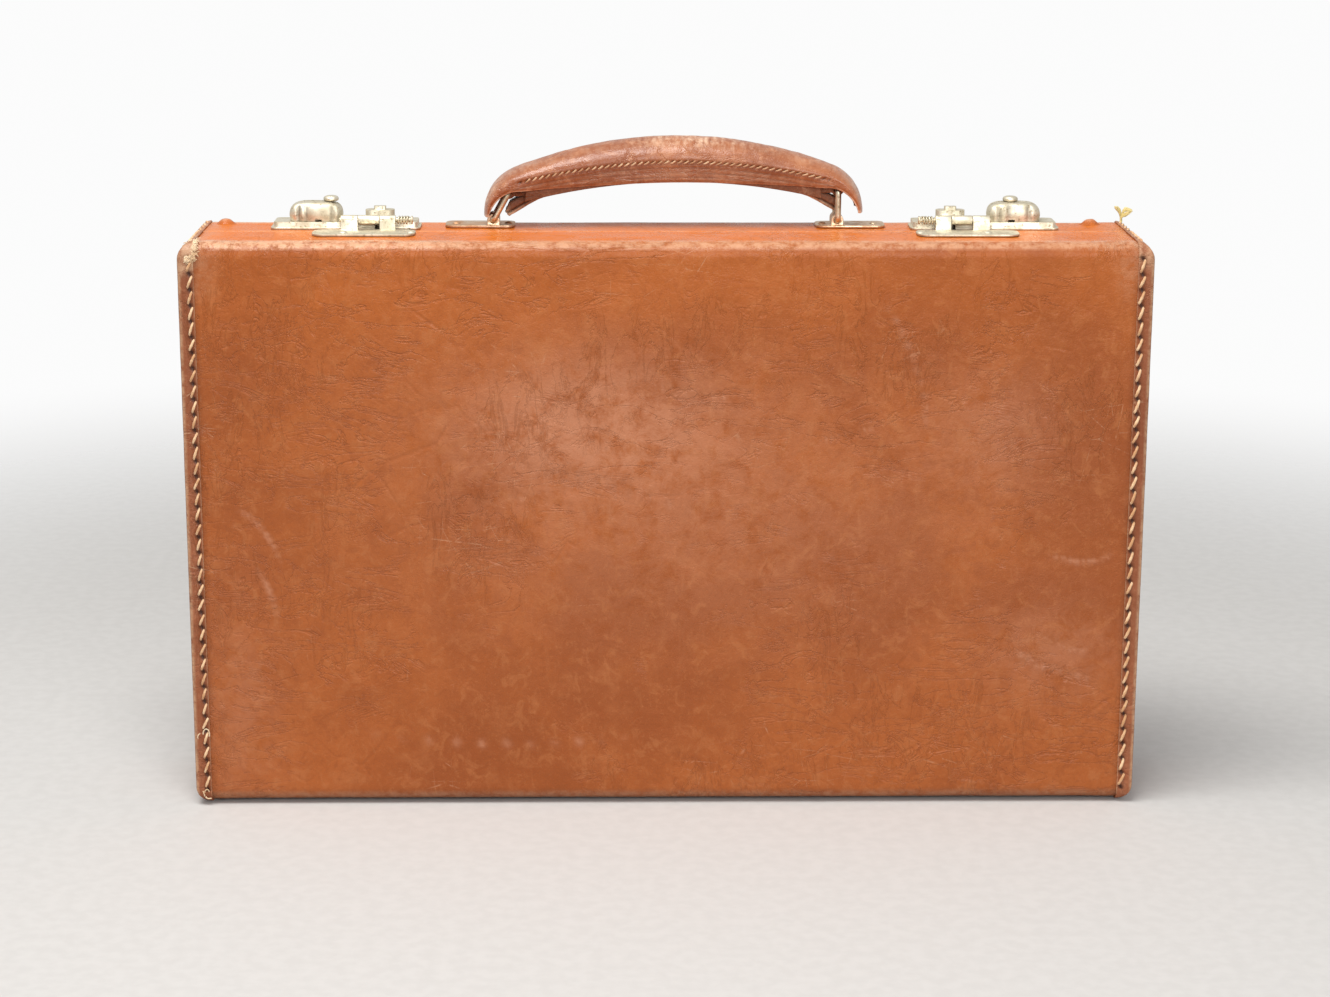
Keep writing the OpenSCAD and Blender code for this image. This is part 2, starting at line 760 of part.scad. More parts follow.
module slide_bolt(e) {
    color(nickel) at_lock(e) translate([knob_u(e), 0, 0]) {
        block([-1, bar_y0, bar_z0], [1, bar_y1, neck_z]);
        block([-1, slide_y - 1.5, neck_z - 1.5], [1, bar_y1, neck_z]);
        block([-knob_tip - hook_l - hook_bar, bar_y0, bar_z0], [1, bar_y1, bar_z1]);
        block([-knob_tip - hook_l - hook_bar, lug_y0 + 1.3, bar_z0 + 0.5],
              [-knob_tip - hook_l, bar_y1, bar_z1]);
        block([-knob_tip - hook_l - 0.1, lug_y0 + 1.3, bar_z0 + 0.5], [-knob_tip, lug_y1 - 1.3, bar_z1]);
    }
}

module slide_knob(e) {
    color(nickel) at_lock(e) translate([knob_u(e), slide_y, 0]) {
        translate([0, 0, neck_z]) cylinder(h = dome_z - neck_z + 1, r = 0.8);
        intersection() {
            translate([0, 0, dome_z - 0.7]) sphere(knob_r);
            translate([0, 0, dome_z + slide_fit]) cylinder(h = 5, r = 4);
        }
    }
}

module handle_loop(e, fit) {
    difference() {
        union() {
            translate([e * eye_x, 0, eye_z]) rotate([90, 0, 0])
                cylinder(h = 2 * loop_b, r = loop_r, center = true);
            side(e) block([crown_x - 5, -loop_b, eye_z - 1.6], [eye_x, loop_b, eye_z + 0.9]);
        }
        translate([e * eye_x, 0, eye_z]) rotate([90, 0, 0])
            cylinder(h = 4 * loop_b, r = wire_r + fit, center = true);
    }
}

module body_board() { board_tray(1); }
module body_wrap() { wrap(1); }
module body_end_left() { end_leather(1, -1); }
module body_end_right() { end_leather(1, 1); }
module body_lining() { lining_tray(1); }
module body_thread() { seam(1); }
module lid_board() { board_tray(-1); }
module lid_wrap() { wrap(-1); }
module lid_end_left() { end_leather(-1, -1); }
module lid_end_right() { end_leather(-1, 1); }
module lid_lining() { lining_tray(-1); }
module lid_thread() { seam(-1); }
module left_hinge_body_leaf() { hinge_leaf(-1, 1); }
module left_hinge_lid_leaf() { hinge_leaf(-1, -1); }
module left_hinge_pin() { hinge_pin(-1); }
module right_hinge_body_leaf() { hinge_leaf(1, 1); }
module right_hinge_lid_leaf() { hinge_leaf(1, -1); }
module right_hinge_pin() { hinge_pin(1); }
module body_hinge_rivets() { hinge_rivets(1); }
module lid_hinge_rivets() { hinge_rivets(-1); }

module handle_cover() {
    color(leather) on_handle() skin([for (st = handle_stations) cover_ring(st)], true);
}

module handle_core() {
    color(leather_dark) on_handle() skin([for (st = core_stations) core_ring(st)]);
}

// Outline of the strap in X and Z: below the dome on top, and along the underside.
strap_phi = asin((crown_x - 3.5) / crown_r);
strap_steps = [for (i = [-10 : 10]) i / 10];

function strap_top(t) = let (q = lay([t * strap_phi, 0], 0, dome_at(t * strap_phi) + grip_gap)) [q[0], q[2]];
function strap_low(t) = let (x = t * (crown_x - 4.5))
    [x, under_z - under_r + sqrt(under_r * under_r - x * x)];

module handle_strap() {
    b = grip_skirt - grip_t - grip_gap;
    color(leather_dark) on_handle() {
        rotate([90, 0, 0]) translate([0, 0, -b]) linear_extrude(2 * b)
            polygon(concat([for (t = strap_steps) strap_top(t)], [for (t = strap_steps) strap_low(-t)]));
        handle_loop(-1, pin_fit);
        handle_loop(1, open_fit);
    }
}

module handle_thread() {
    run = crown_r * (crown_phi - 0.6) * PI / 180;
    n = floor(2 * run / grip_pitch);
    color(thread) on_handle() for (s = [-1, 1]) {
        for (i = [0 : n]) {
            a = (i - n / 2) * grip_pitch / crown_r * 180 / PI;
            translate(lay([a, 0], s * (grip_b + thread_r - 0.1), dome_at(a) + 0.5))
                rotate([0, a + 62, 0]) cylinder(h = 1.9, r = 0.35, center = true, $fn = 6);
        }
    }
}

module left_ring() { ring(-1, ring_lean); }
module right_ring() { ring(1, 0); }
module left_handle_plate() { handle_plate(-1); }
module right_handle_plate() { handle_plate(1); }

module handle_rivets() {
    color(nickel) for (s = [-1, 1]) {
        for (u = handle_rivet_u) {
            rivet(s * (ring_x + u), handle_y, top_z + plate_t);
        }
    }
}

module top_studs() {
    color(leather) for (s = [-1, 1]) {
        translate([s * stud_x - stud_shift, stud_y, top_z]) low_dome(stud_r, stud_h);
    }
}

module left_lock_plate() { lock_plate(-1); }
module left_lock_case() { lock_case(-1); }
module left_slide_bolt() { slide_bolt(-1); }
module left_slide_knob() { slide_knob(-1); }
module left_hasp_plate() { hasp_plate(-1); }
module left_hasp() { hasp(-1); }
module left_hasp_pin() { hasp_pin(-1); }
module left_hasp_spring() { hasp_spring(-1); }
module right_lock_plate() { lock_plate(1); }
module right_lock_case() { lock_case(1); }
module right_slide_bolt() { slide_bolt(1); }
module right_slide_knob() { slide_knob(1); }
module right_hasp_plate() { hasp_plate(1); }
module right_hasp() { hasp(1); }
module right_hasp_pin() { hasp_pin(1); }
module right_hasp_spring() { hasp_spring(1); }

module body_lock_rivets() {
    color(nickel) for (s = [-1, 1]) {
        for (p = lock_rivet_p) {
            rivet(s * (lock_x + p[0]), p[1], top_z + deck_z);
        }
    }
}

module lid_lock_rivets() {
    color(nickel) for (s = [-1, 1]) {
        for (p = lid_rivet_p) {
            rivet(s * (lock_x + p[0]), p[1], top_z + metal_t);
        }
    }
}

body_board();
body_wrap();
body_end_left();
body_end_right();
body_lining();
body_thread();
lid_board();
lid_wrap();
lid_end_left();
lid_end_right();
lid_lining();
lid_thread();
left_hinge_body_leaf();
left_hinge_lid_leaf();
left_hinge_pin();
right_hinge_body_leaf();
right_hinge_lid_leaf();
right_hinge_pin();
body_hinge_rivets();
lid_hinge_rivets();
handle_cover();
handle_core();
handle_strap();
handle_thread();
left_ring();
right_ring();
left_handle_plate();
right_handle_plate();
handle_rivets();
top_studs();
left_lock_plate();
left_lock_case();
left_slide_bolt();
left_slide_knob();
left_hasp_plate();
left_hasp();
left_hasp_pin();
left_hasp_spring();
right_lock_plate();
right_lock_case();
right_slide_bolt();
right_slide_knob();
right_hasp_plate();
right_hasp();
right_hasp_pin();
right_hasp_spring();
body_lock_rivets();
lid_lock_rivets();
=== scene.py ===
# Looks of the small leather attache case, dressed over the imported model.
# Metres in Blender, millimetres in the functions below: X along the case, Y through it, Z up.
import random
from math import (asin, atan, atan2, copysign, cos, degrees, dist, exp, floor, hypot, pi,
                  radians, sin, sqrt)

import bmesh
import bpy
from mathutils import Matrix, Vector, noise

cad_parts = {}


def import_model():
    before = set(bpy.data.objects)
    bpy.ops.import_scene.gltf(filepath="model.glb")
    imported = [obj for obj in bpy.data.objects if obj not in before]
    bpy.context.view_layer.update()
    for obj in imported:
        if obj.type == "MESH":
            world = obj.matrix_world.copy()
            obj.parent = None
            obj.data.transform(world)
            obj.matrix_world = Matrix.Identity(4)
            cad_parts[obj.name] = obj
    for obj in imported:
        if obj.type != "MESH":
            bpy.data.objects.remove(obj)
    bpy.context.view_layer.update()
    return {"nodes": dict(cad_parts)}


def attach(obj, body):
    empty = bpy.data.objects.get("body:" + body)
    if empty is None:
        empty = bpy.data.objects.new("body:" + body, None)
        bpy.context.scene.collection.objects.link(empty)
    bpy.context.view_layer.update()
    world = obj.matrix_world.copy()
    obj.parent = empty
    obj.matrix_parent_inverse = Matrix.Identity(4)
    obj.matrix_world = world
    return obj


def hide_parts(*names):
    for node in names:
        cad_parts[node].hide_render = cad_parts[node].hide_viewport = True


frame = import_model()

MM = 0.001

# Sizes repeated from the part's source, in millimetres, and RING_LEAN in degrees.
CASE_W = 356.0
CASE_H = 214.0
HALF_D = 29.0
EDGE_R = 5.5
CORNER_R = 7.5
LEATHER_T = 2.0
RIM = 0.15
LAP_T = 0.8
SEAM_IN = 4.5
SEAM_PITCH = 5.8
LEAF_T = 1.0
TOP_Z = LEAF_T + CASE_H
HANDLE_Y = 15.0
CROWN_Z = 34.1
CROWN_R = 162.0
CROWN_X = 60.0
CURL_R = 18.0
CURL_END = 0.5
GRIP_B = 10.8
GRIP_DOME = 8.4
CURL_DOME = 4.4
END_DOME = 1.9
GRIP_SKIRT = 9.2
GRIP_D = 16.7
CURL_D = 8.4
END_D = 2.3
GRIP_T = 1.6
GRIP_PITCH = 2.6
RING_X = 64.7
RING_H = 12.0
RING_B = 6.4
RING_LEAN = 28.9
WIRE_R = 1.2
STAPLE_Z = 2.6
LOCK_X = 106.8
STUD_XS = (-166.0, 161.6)
STUD_R = 4.1
STUD_H = 2.0
STUD_Y = 19.5

SIDES = (("left", -1), ("right", 1))
HALVES = (("lid", -1), ("body", 1))


# Materials.

class Mat:
    """A material and the short calls that its node tree is written with."""

    def __init__(self, name):
        self.mat = bpy.data.materials.new(name)
        self.mat.use_nodes = True
        self.tree = self.mat.node_tree
        self.shader = self.tree.nodes["Principled BSDF"]
        self.coords = self.node("ShaderNodeTexCoord").outputs["Object"]

    def node(self, kind):
        return self.tree.nodes.new(kind)

    def link(self, a, b):
        if isinstance(a, (int, float)):
            b.default_value = a
        elif isinstance(a, tuple):
            b.default_value = a + (1.0,) if len(a) == 3 and len(b.default_value) == 4 else a
        else:
            self.tree.links.new(a, b)

    def set(self, **values):
        for key, value in values.items():
            self.link(value, self.shader.inputs[key.replace("_", " ")])

    def fed(self, n, out, **values):
        """An output of a node whose inputs get the values, by name."""
        for key, value in values.items():
            self.link(value, n.inputs[key])
        return n.outputs[out]

    def scaled(self, scale, turn=(0, 0, 0)):
        n = self.node("ShaderNodeMapping")
        return self.fed(n, "Vector", Vector=self.coords, Scale=scale, Rotation=turn)

    def noise(self, scale, detail=3.0, rough=0.5, distort=0.0, vector=None):
        return self.fed(self.node("ShaderNodeTexNoise"), "Fac", Vector=vector or self.coords, Scale=scale,
                        Detail=detail, Roughness=rough, Distortion=distort)

    def cells(self, scale, feature="F1", vector=None):
        n = self.node("ShaderNodeTexVoronoi")
        n.feature = feature
        return self.fed(n, "Distance", Vector=vector or self.coords, Scale=scale)

    def attr(self, name):
        n = self.node("ShaderNodeAttribute")
        n.attribute_name = name
        return n.outputs["Fac"]

    def math(self, op, a, b=0.0):
        n = self.node("ShaderNodeMath")
        n.operation = op
        self.link(a, n.inputs[0])
        self.link(b, n.inputs[1])
        return n.outputs[0]

    def times(self, a, b):
        return self.math("MULTIPLY", a, b)

    def plus(self, a, b):
        return self.math("ADD", a, b)

    def minus(self, a, b):
        return self.math("SUBTRACT", a, b)

    def span(self, a, lo, hi, out_lo=0.0, out_hi=1.0):
        """a between lo and hi, carried smoothly to out_lo and out_hi."""
        n = self.node("ShaderNodeMapRange")
        n.interpolation_type = "SMOOTHSTEP"
        for value, socket in zip((a, lo, hi, out_lo, out_hi), n.inputs):
            self.link(value, socket)
        return n.outputs["Result"]

    def mix(self, fac, a, b):
        n = self.node("ShaderNodeMix")
        n.data_type = "RGBA"
        self.link(fac, n.inputs[0])
        self.link(a, n.inputs[6])
        self.link(b, n.inputs[7])
        return n.outputs[2]

    def veil(self, tone, mask, lo, hi, share, over):
        """tone with a share of over laid on it, where mask runs from lo to hi."""
        return self.mix(self.times(self.span(mask, lo, hi), share), tone, over)

    def furrows(self, scale, turn, width, where):
        """Thin winding lines along the level curves of a stretched noise, only where the mask is."""
        field = self.noise(1.0, 5.0, 0.62, 1.1, self.scaled(scale, turn))
        off = self.math("ABSOLUTE", self.minus(field, 0.5))
        return self.times(self.span(off, width, 0.0), where)

    def bump(self, height, strength, distance, under=None):
        extra = {"Normal": under} if under else {}
        return self.fed(self.node("ShaderNodeBump"), "Normal", Height=height, Strength=strength,
                        Distance=distance, **extra)


def leather(name, deep, main, pale, scuff_and_highlight, rough=0.42, wear_and_highlight_gain=1.0, grain=1.0, scratch=1.0,
            bright=None, second_tone=None, shine=0.34):
    """Old waxed leather: soft clouds of colour, pores, furrows and scratches, its folds and wrinkles darkened
    as painted shade. Its attributes paint scuffs with the painted highlight of the top front edge, the
    brighter tone of painted light from above, the pale tone of painted sheen, and dark, which is painted
    shade in stitch holes, seams, grooves, under creases and on the handle's inner side, and darker bands
    along the bottom edge and the ends, and a small spot."""
    m = Mat(name)
    tone = m.mix(m.span(m.noise(17, 4.0, 0.5, 0.3), 0.36, 0.64), deep, main)
    blotch = m.noise(150, 6.0, 0.62, 0.9)
    streak = m.noise(1.0, 5.0, 0.68, 0.5, m.scaled((210, 210, 75), (0.0, 0.12, 0.0)))
    clouds = (
        (m.noise(70, 6.0, 0.66, 0.3), (0.5, 0.72, 0.4), (0.48, 0.3, 0.35)),
        (m.noise(330, 5.0, 0.7, 0.2), (0.54, 0.74, 0.34), (0.46, 0.26, 0.34)),
        (blotch, (0.53, 0.66, 0.42), (0.47, 0.36, 0.48)),
        (m.noise(820, 4.0, 0.7), (0.56, 0.72, 0.42), (0.44, 0.3, 0.42)),
        (streak, (0.54, 0.74, 0.3), (0.46, 0.28, 0.4)),
    )
    for mask, light, heavy in clouds:
        tone = m.veil(tone, mask, *light, pale)
        tone = m.veil(tone, mask, *heavy, deep)
    # Painted light: the top, and faintly the upper face, pulled to the brighter tone as light from above
    # would.
    if bright:
        tone = m.mix(m.attr("painted_top_light"), tone, bright)
    # Painted sheen: pale patches where light's reflection falls on the face, and pale glints along the
    # creases.
    painted_sheen_and_rub = m.times(m.attr("painted_sheen_and_rub"), m.span(m.noise(120, 6.0, 0.72, 0.4), 0.26, 0.62))
    tone = m.mix(m.times(painted_sheen_and_rub, 0.85), tone, second_tone or pale)
    light_marks = m.cells(1.0, "DISTANCE_TO_EDGE", m.scaled((30, 30, 95), (0.2, 0.7, 0.1)))
    cross_marks = m.cells(1.0, "DISTANCE_TO_EDGE", m.scaled((120, 60, 36), (0.3, -0.5, 0.2)))
    broken = m.span(m.noise(210, 4.0, 0.7), 0.44, 0.62)
    where = m.times(m.span(m.noise(24, 3.0, 0.6), 0.55, 0.68), broken)
    lines = m.math("MAXIMUM", m.span(light_marks, 0.014, 0.0), m.span(cross_marks, 0.012, 0.0))
    lines = m.times(lines, where)
    tone = m.mix(m.times(lines, 0.6 * scratch), tone, scuff_and_highlight)
    # Painted shade: folds and wrinkles darkened towards the deep tone, besides the relief their bump gives.
    creases = m.cells(1.0, "DISTANCE_TO_EDGE", m.scaled((52, 52, 44), (0.9, 0.2, 0.6)))
    folds = m.times(m.span(creases, 0.05, 0.0), m.span(m.noise(19, 3.0, 0.6, 0.5), 0.52, 0.68))
    tone = m.mix(m.times(folds, 0.22 * scratch), tone, deep)
    level = m.furrows((34, 34, 92), (0.1, 0.6, 0.3), 0.030, m.span(m.noise(15, 3.0, 0.6, 0.6), 0.48, 0.58))
    upright = m.furrows((120, 60, 42), (0.7, 0.2, 0.5), 0.028, m.span(m.noise(13, 3.0, 0.6, 0.2), 0.52, 0.61))
    wrinkle = m.math("MAXIMUM", level, upright)
    tone = m.mix(m.times(wrinkle, 0.22 * scratch), tone, deep)
    # Scuffs, and the painted highlight along the top front edge, in the scuff colour.
    wear_and_highlight = m.times(m.attr("wear_and_highlight"), m.span(m.noise(260, 6.0, 0.74), 0.30, 0.62))
    wear_and_highlight = m.times(wear_and_highlight, wear_and_highlight_gain)
    tone = m.mix(wear_and_highlight, tone, scuff_and_highlight)
    # Painted shade in stitch holes, seams, grooves and under creases, and darker bands along the bottom edge
    # and the ends.
    tone = m.mix(m.attr("dark"), tone, (deep[0] * 0.20, deep[1] * 0.17, deep[2] * 0.16))
    pores = m.cells(1500, "F1", m.scaled((1, 1, 0.8)))
    skin = m.cells(640, "DISTANCE_TO_EDGE")
    height = m.plus(m.times(m.span(pores, 0.0, 0.5), 0.3), m.times(m.span(skin, 0.0, 0.12), 0.13))
    height = m.plus(height, m.times(m.noise(380, 6.0, 0.66), 1.3))
    for marks, depth in ((lines, 0.8), (folds, 1.6), (wrinkle, 4.0)):
        height = m.minus(height, m.times(marks, depth * scratch))
    height = m.plus(height, m.times(blotch, 1.6))
    broad = m.bump(m.noise(40, 4.0, 0.55, 0.4), 0.55, 0.0018)
    gloss = m.span(m.noise(52, 5.0, 0.65), 0.3, 0.72, rough - 0.08, rough + 0.12)
    gloss = m.minus(gloss, m.times(m.attr("painted_top_light"), 0.06))
    m.set(Base_Color=tone, Roughness=gloss, Normal=m.bump(height, 0.42 * grain, 0.00032, broad),
          Specular_IOR_Level=shine)
    return m.mat


def cut_leather(name, deep, pale):
    """Raw edge of layered leather, fibrous along its length."""
    m = Mat(name)
    fibre = m.noise(1.0, 4.0, 0.65, 0.0, m.scaled((240, 1900, 1900)))
    blot = m.noise(130, 4.0, 0.6)
    tone = m.mix(m.span(fibre, 0.34, 0.66), deep, pale)
    tone = m.veil(tone, blot, 0.45, 0.7, 0.5, deep)
    m.set(Base_Color=tone, Roughness=m.span(blot, 0.3, 0.7, 0.55, 0.8), Normal=m.bump(fibre, 0.6, 0.0003))
    return m.mat


def nickel(name, bright, second_tone, rust, rough=0.3, grime=0.5):
    """Old plated metal: clouded, with yellow-brown tarnish and fine rubbing marks."""
    m = Mat(name)
    cloud = m.noise(160, 4.0, 0.6, 0.4)
    spots = m.noise(760, 4.0, 0.65)
    rubs = m.noise(1.0, 3.0, 0.5, 0.0, m.scaled((300, 2600, 2600), (0.0, 0.1, 0.2)))
    tone = m.mix(m.span(cloud, 0.34, 0.66), bright, second_tone)
    stain = m.times(m.span(spots, 0.52, 0.74), grime)
    tone = m.mix(stain, tone, rust)
    # Painted shade at the foot of metal parts, under the knob's rim and in the dome's flutes.
    tone = m.mix(m.attr("dark"), tone, (rust[0] * 0.35, rust[1] * 0.32, rust[2] * 0.3))
    gloss = m.plus(m.span(cloud, 0.3, 0.7, rough - 0.06, rough + 0.14), m.times(stain, 0.3))
    height = m.plus(m.times(rubs, 0.35), m.times(spots, 0.65))
    m.set(Base_Color=tone, Metallic=1.0, Roughness=gloss, Normal=m.bump(height, 0.3, 0.00012))
    return m.mat


def thread_mat(name, deep, pale):
    """Waxed twisted thread, dirty in places."""
    m = Mat(name)
    twist = m.noise(1.0, 2.0, 0.5, 0.0, m.scaled((1500, 1500, 2600), (0.5, 0.3, 0.0)))
    dirt = m.noise(190, 4.0, 0.6)
    tone = m.mix(m.span(dirt, 0.36, 0.64), deep, pale)
    tone = m.veil(tone, twist, 0.55, 0.35, 0.4, deep)
    m.set(Base_Color=tone, Roughness=0.82, Normal=m.bump(twist, 0.7, 0.0002), Sheen_Weight=0.15)
    return m.mat


# Scale of the bands that draw the lining's threads.
WEAVE = 420


def lining_mat(name, deep, main):
    """Plain-woven cotton lining."""
    m = Mat(name)
    bands = []
    for way in "XZ":
        wave = m.node("ShaderNodeTexWave")
        wave.wave_type = "BANDS"
        wave.bands_direction = way
        bands.append(m.fed(wave, "Fac", Vector=m.coords, Scale=WEAVE))
    cross = m.times(*bands)
    stain = m.noise(22, 5.0, 0.6)
    tone = m.mix(m.span(stain, 0.35, 0.7), main, deep)
    tone = m.veil(tone, cross, 0.3, 0.0, 0.35, deep)
    m.set(Base_Color=tone, Roughness=0.9, Normal=m.bump(cross, 0.5, 0.0002), Sheen_Weight=0.2)
    return m.mat


def board_mat(name, deep, main):
    """Grey-brown pressed fibre board."""
    m = Mat(name)
    fibre = m.noise(1.0, 5.0, 0.7, 0.2, m.scaled((500, 1400, 1400)))
    tone = m.mix(m.span(fibre, 0.32, 0.68), deep, main)
    tone = m.veil(tone, m.noise(60, 3.0), 0.4, 0.7, 0.4, deep)
    m.set(Base_Color=tone, Roughness=0.88, Normal=m.bump(fibre, 0.5, 0.0003))
    return m.mat


# In TAN the fifth colour is that of scuffs and of the painted highlight along the top front edge, the next is
# the brighter tone of painted light on the top, and the last the pale tone of painted sheen.
TAN = leather("tan_leather", (0.305, 0.074, 0.015), (0.395, 0.103, 0.021), (0.45, 0.150, 0.047),
              (0.66, 0.36, 0.21), 0.35, scratch=0.7, bright=(0.66, 0.158, 0.010), second_tone=(0.53, 0.215, 0.112),
              shine=0.28)
LAP = leather("lap_leather", (0.24, 0.066, 0.022), (0.32, 0.097, 0.036), (0.43, 0.165, 0.078),
              (0.74, 0.48, 0.29), 0.42)
GRIP = leather("grip_leather", (0.28, 0.083, 0.031), (0.45, 0.160, 0.065), (0.60, 0.285, 0.150),
               (0.80, 0.54, 0.37), 0.28, 1.0, 0.8, 0.8, shine=0.5)
EDGE = cut_leather("cut_leather_edge", (0.25, 0.10, 0.05), (0.55, 0.33, 0.2))
STRAP = leather("strap_leather", (0.20, 0.075, 0.036), (0.33, 0.14, 0.07), (0.46, 0.24, 0.14),
                (0.68, 0.48, 0.32), 0.5)
NICKEL = nickel("aged_nickel", (0.86, 0.80, 0.65), (0.62, 0.56, 0.42), (0.24, 0.17, 0.09), 0.48, 0.75)
# The tan tinge of this nickel is a painted reflection of the leather round the handle plates.
PLATE = nickel("nickel_with_painted_leather_reflection", (0.82, 0.62, 0.43), (0.62, 0.37, 0.21), (0.40, 0.19, 0.08), 0.36, 0.7)
RING = nickel("dull_nickel", (0.80, 0.73, 0.56), (0.58, 0.51, 0.37), (0.18, 0.14, 0.08), 0.42, 0.7)
BRASS = nickel("aged_brass", (0.68, 0.47, 0.2), (0.45, 0.29, 0.12), (0.16, 0.1, 0.05), 0.36, 0.6)
THREAD = thread_mat("waxed_thread", (0.60, 0.31, 0.14), (0.90, 0.63, 0.38))
GRIP_THREAD = thread_mat("grip_thread", (0.40, 0.19, 0.09), (0.66, 0.42, 0.25))
FLUFF = thread_mat("frayed_fibre", (0.66, 0.44, 0.25), (0.88, 0.70, 0.48))
TUFT = thread_mat("stray_thread", (0.60, 0.47, 0.17), (0.86, 0.76, 0.40))
LINING = lining_mat("cotton_lining", (0.40, 0.305, 0.195), (0.50, 0.40, 0.27))
BOARD = board_mat("fibre_board", (0.14, 0.10, 0.07), (0.27, 0.205, 0.14))


# Helpers for meshes. Points and sizes are in millimetres there.

def placed(name, data):
    """A new object in the scene."""
    obj = bpy.data.objects.new(name, data)
    bpy.context.scene.collection.objects.link(obj)
    return obj


def set_values(mesh, key, values):
    mesh.attributes.new(key, "FLOAT", "POINT").data.foreach_set("value", values)


def finish(mesh, material, sharp=None):
    """Gives a mesh its one material and, where sharp is an angle, smooth shading up to that angle."""
    mesh.materials.clear()
    mesh.materials.append(material)
    if sharp is not None:
        mesh.polygons.foreach_set("use_smooth", [True] * len(mesh.polygons))
        mesh.set_sharp_from_angle(angle=radians(sharp))


def piece(name, verts, faces, material, body, attrs=None, sharp=40):
    """A new object from points in millimetres, riding on a body where one is given."""
    mesh = bpy.data.meshes.new(name)
    mesh.from_pydata([(x * MM, y * MM, z * MM) for x, y, z in verts], [], faces)
    for key, values in (attrs or {}).items():
        set_values(mesh, key, values)
    bm = bmesh.new()
    bm.from_mesh(mesh)
    bmesh.ops.recalc_face_normals(bm, faces=bm.faces)
    bm.to_mesh(mesh)
    bm.free()
    finish(mesh, material, sharp)
    obj = placed(name, mesh)
    if body:
        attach(obj, body)
    return obj


def baked(obj):
    """The object's mesh with its modifiers applied."""
    bpy.context.view_layer.update()
    deps = bpy.context.evaluated_depsgraph_get()
    mesh = bpy.data.meshes.new_from_object(obj.evaluated_get(deps))
    obj.modifiers.clear()
    old = obj.data
    obj.data = mesh
    bpy.data.meshes.remove(old)
    return mesh


def node_copy(node, name):
    """A welded copy of a CAD node's mesh in a new object."""
    mesh = frame["nodes"][node].data.copy()
    mesh.name = name
    bm = bmesh.new()
    bm.from_mesh(mesh)
    bmesh.ops.remove_doubles(bm, verts=bm.verts, dist=2e-6)
    bmesh.ops.dissolve_limit(bm, angle_limit=radians(1.0), verts=bm.verts, edges=bm.edges)
    bm.to_mesh(mesh)
    bm.free()
    return placed(name, mesh)


# Edges that turn by more than this many degrees are rounded over.
BEVEL_FROM = 28
# Darkness and height of the painted shade along the foot where metal stands on the leather.
FOOT_SHADE = 0.55
FOOT_H = 0.3


def softened(node, material, body, width=0.16, segments=2):
    """The CAD node again with its edges rounded over, in place of the plain one."""
    obj = node_copy(node, node + "_finished")
    bevel = obj.modifiers.new("edge", "BEVEL")
    bevel.width = width * MM
    bevel.segments = segments
    bevel.limit_method = "ANGLE"
    bevel.angle_limit = radians(BEVEL_FROM)
    bevel.use_clamp_overlap = True
    mesh = baked(obj)
    finish(mesh, material, 32)
    # Painted shade along the foot of the part where it stands on the leather.
    foot = [FOOT_SHADE * ease((TOP_Z + FOOT_H - v.co.z / MM) / FOOT_H) for v in mesh.vertices]
    set_values(mesh, "dark", foot)
    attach(obj, body)
    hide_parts(node)
    return obj


def circle(n):
    """Cosine and sine of n even steps round."""
    return [(cos(2 * pi * k / n), sin(2 * pi * k / n)) for k in range(n)]


def arc(cy, cz, r, a0, a1, n):
    """n + 1 points of an arc, its angles in degrees."""
    turns = [radians(a0 + (a1 - a0) * i / n) for i in range(n + 1)]
    return [(cy + r * cos(a), cz + r * sin(a)) for a in turns]


def line(a, b, step):
    """Points from a to b, about a step apart."""
    n = max(1, round(dist(a, b) / step))
    return [tuple(p + (q - p) * i / n for p, q in zip(a, b)) for i in range(n + 1)]


def chain(*runs):
    """The runs of points joined, without doubles where they meet."""
    out = []
    for run in runs:
        for p in run:
            if not out or dist(out[-1], p) > 1e-6:
                out.append(p)
    return out


def grid_faces(rows, cols, closed_rows=False, closed_cols=False):
    """Four-sided faces over rows of points, closed round where told."""
    faces = []
    for i in range(rows - (0 if closed_rows else 1)):
        for j in range(cols - (0 if closed_cols else 1)):
            a, b = i * cols + j, i * cols + (j + 1) % cols
            c, d = ((i + 1) % rows) * cols + (j + 1) % cols, ((i + 1) % rows) * cols + j
            faces.append((a, b, c, d))
    return faces


def tube(points, radius, segs, verts, faces, ply=0.0, turns=0.0):
    """Adds a round tube along points, with closed ends. radius may be a number or a function of 0..1.
    ply is the share by which its two plies stand out, turns how often they wind round."""
    pts = [Vector(p) for p in points]
    n = len(pts)
    base = len(verts)
    up = Vector((0.013, 0.037, 1.0))
    for i, p in enumerate(pts):
        along = (pts[min(i + 1, n - 1)] - pts[max(i - 1, 0)]).normalized()
        side = along.cross(up)
        if side.length < 1e-3:
            side = along.cross(Vector((1, 0, 0)))
        side.normalize()
        up = side.cross(along).normalized()
        r = radius(i / (n - 1)) if callable(radius) else radius
        for k in range(segs):
            a = 2 * pi * k / segs
            rr = r * (1 + ply * cos(2 * (a - 2 * pi * turns * i / (n - 1))))
            verts.append(tuple(p + side * rr * cos(a) + up * rr * sin(a)))
    faces += [tuple(base + i for i in f) for f in grid_faces(n, segs, False, True)]
    faces.append(tuple(base + k for k in reversed(range(segs))))
    faces.append(tuple(base + (n - 1) * segs + k for k in range(segs)))


BOX_FACES = ((3, 2, 1, 0), (4, 5, 6, 7), (0, 1, 5, 4), (1, 2, 6, 5), (2, 3, 7, 6), (3, 0, 4, 7))


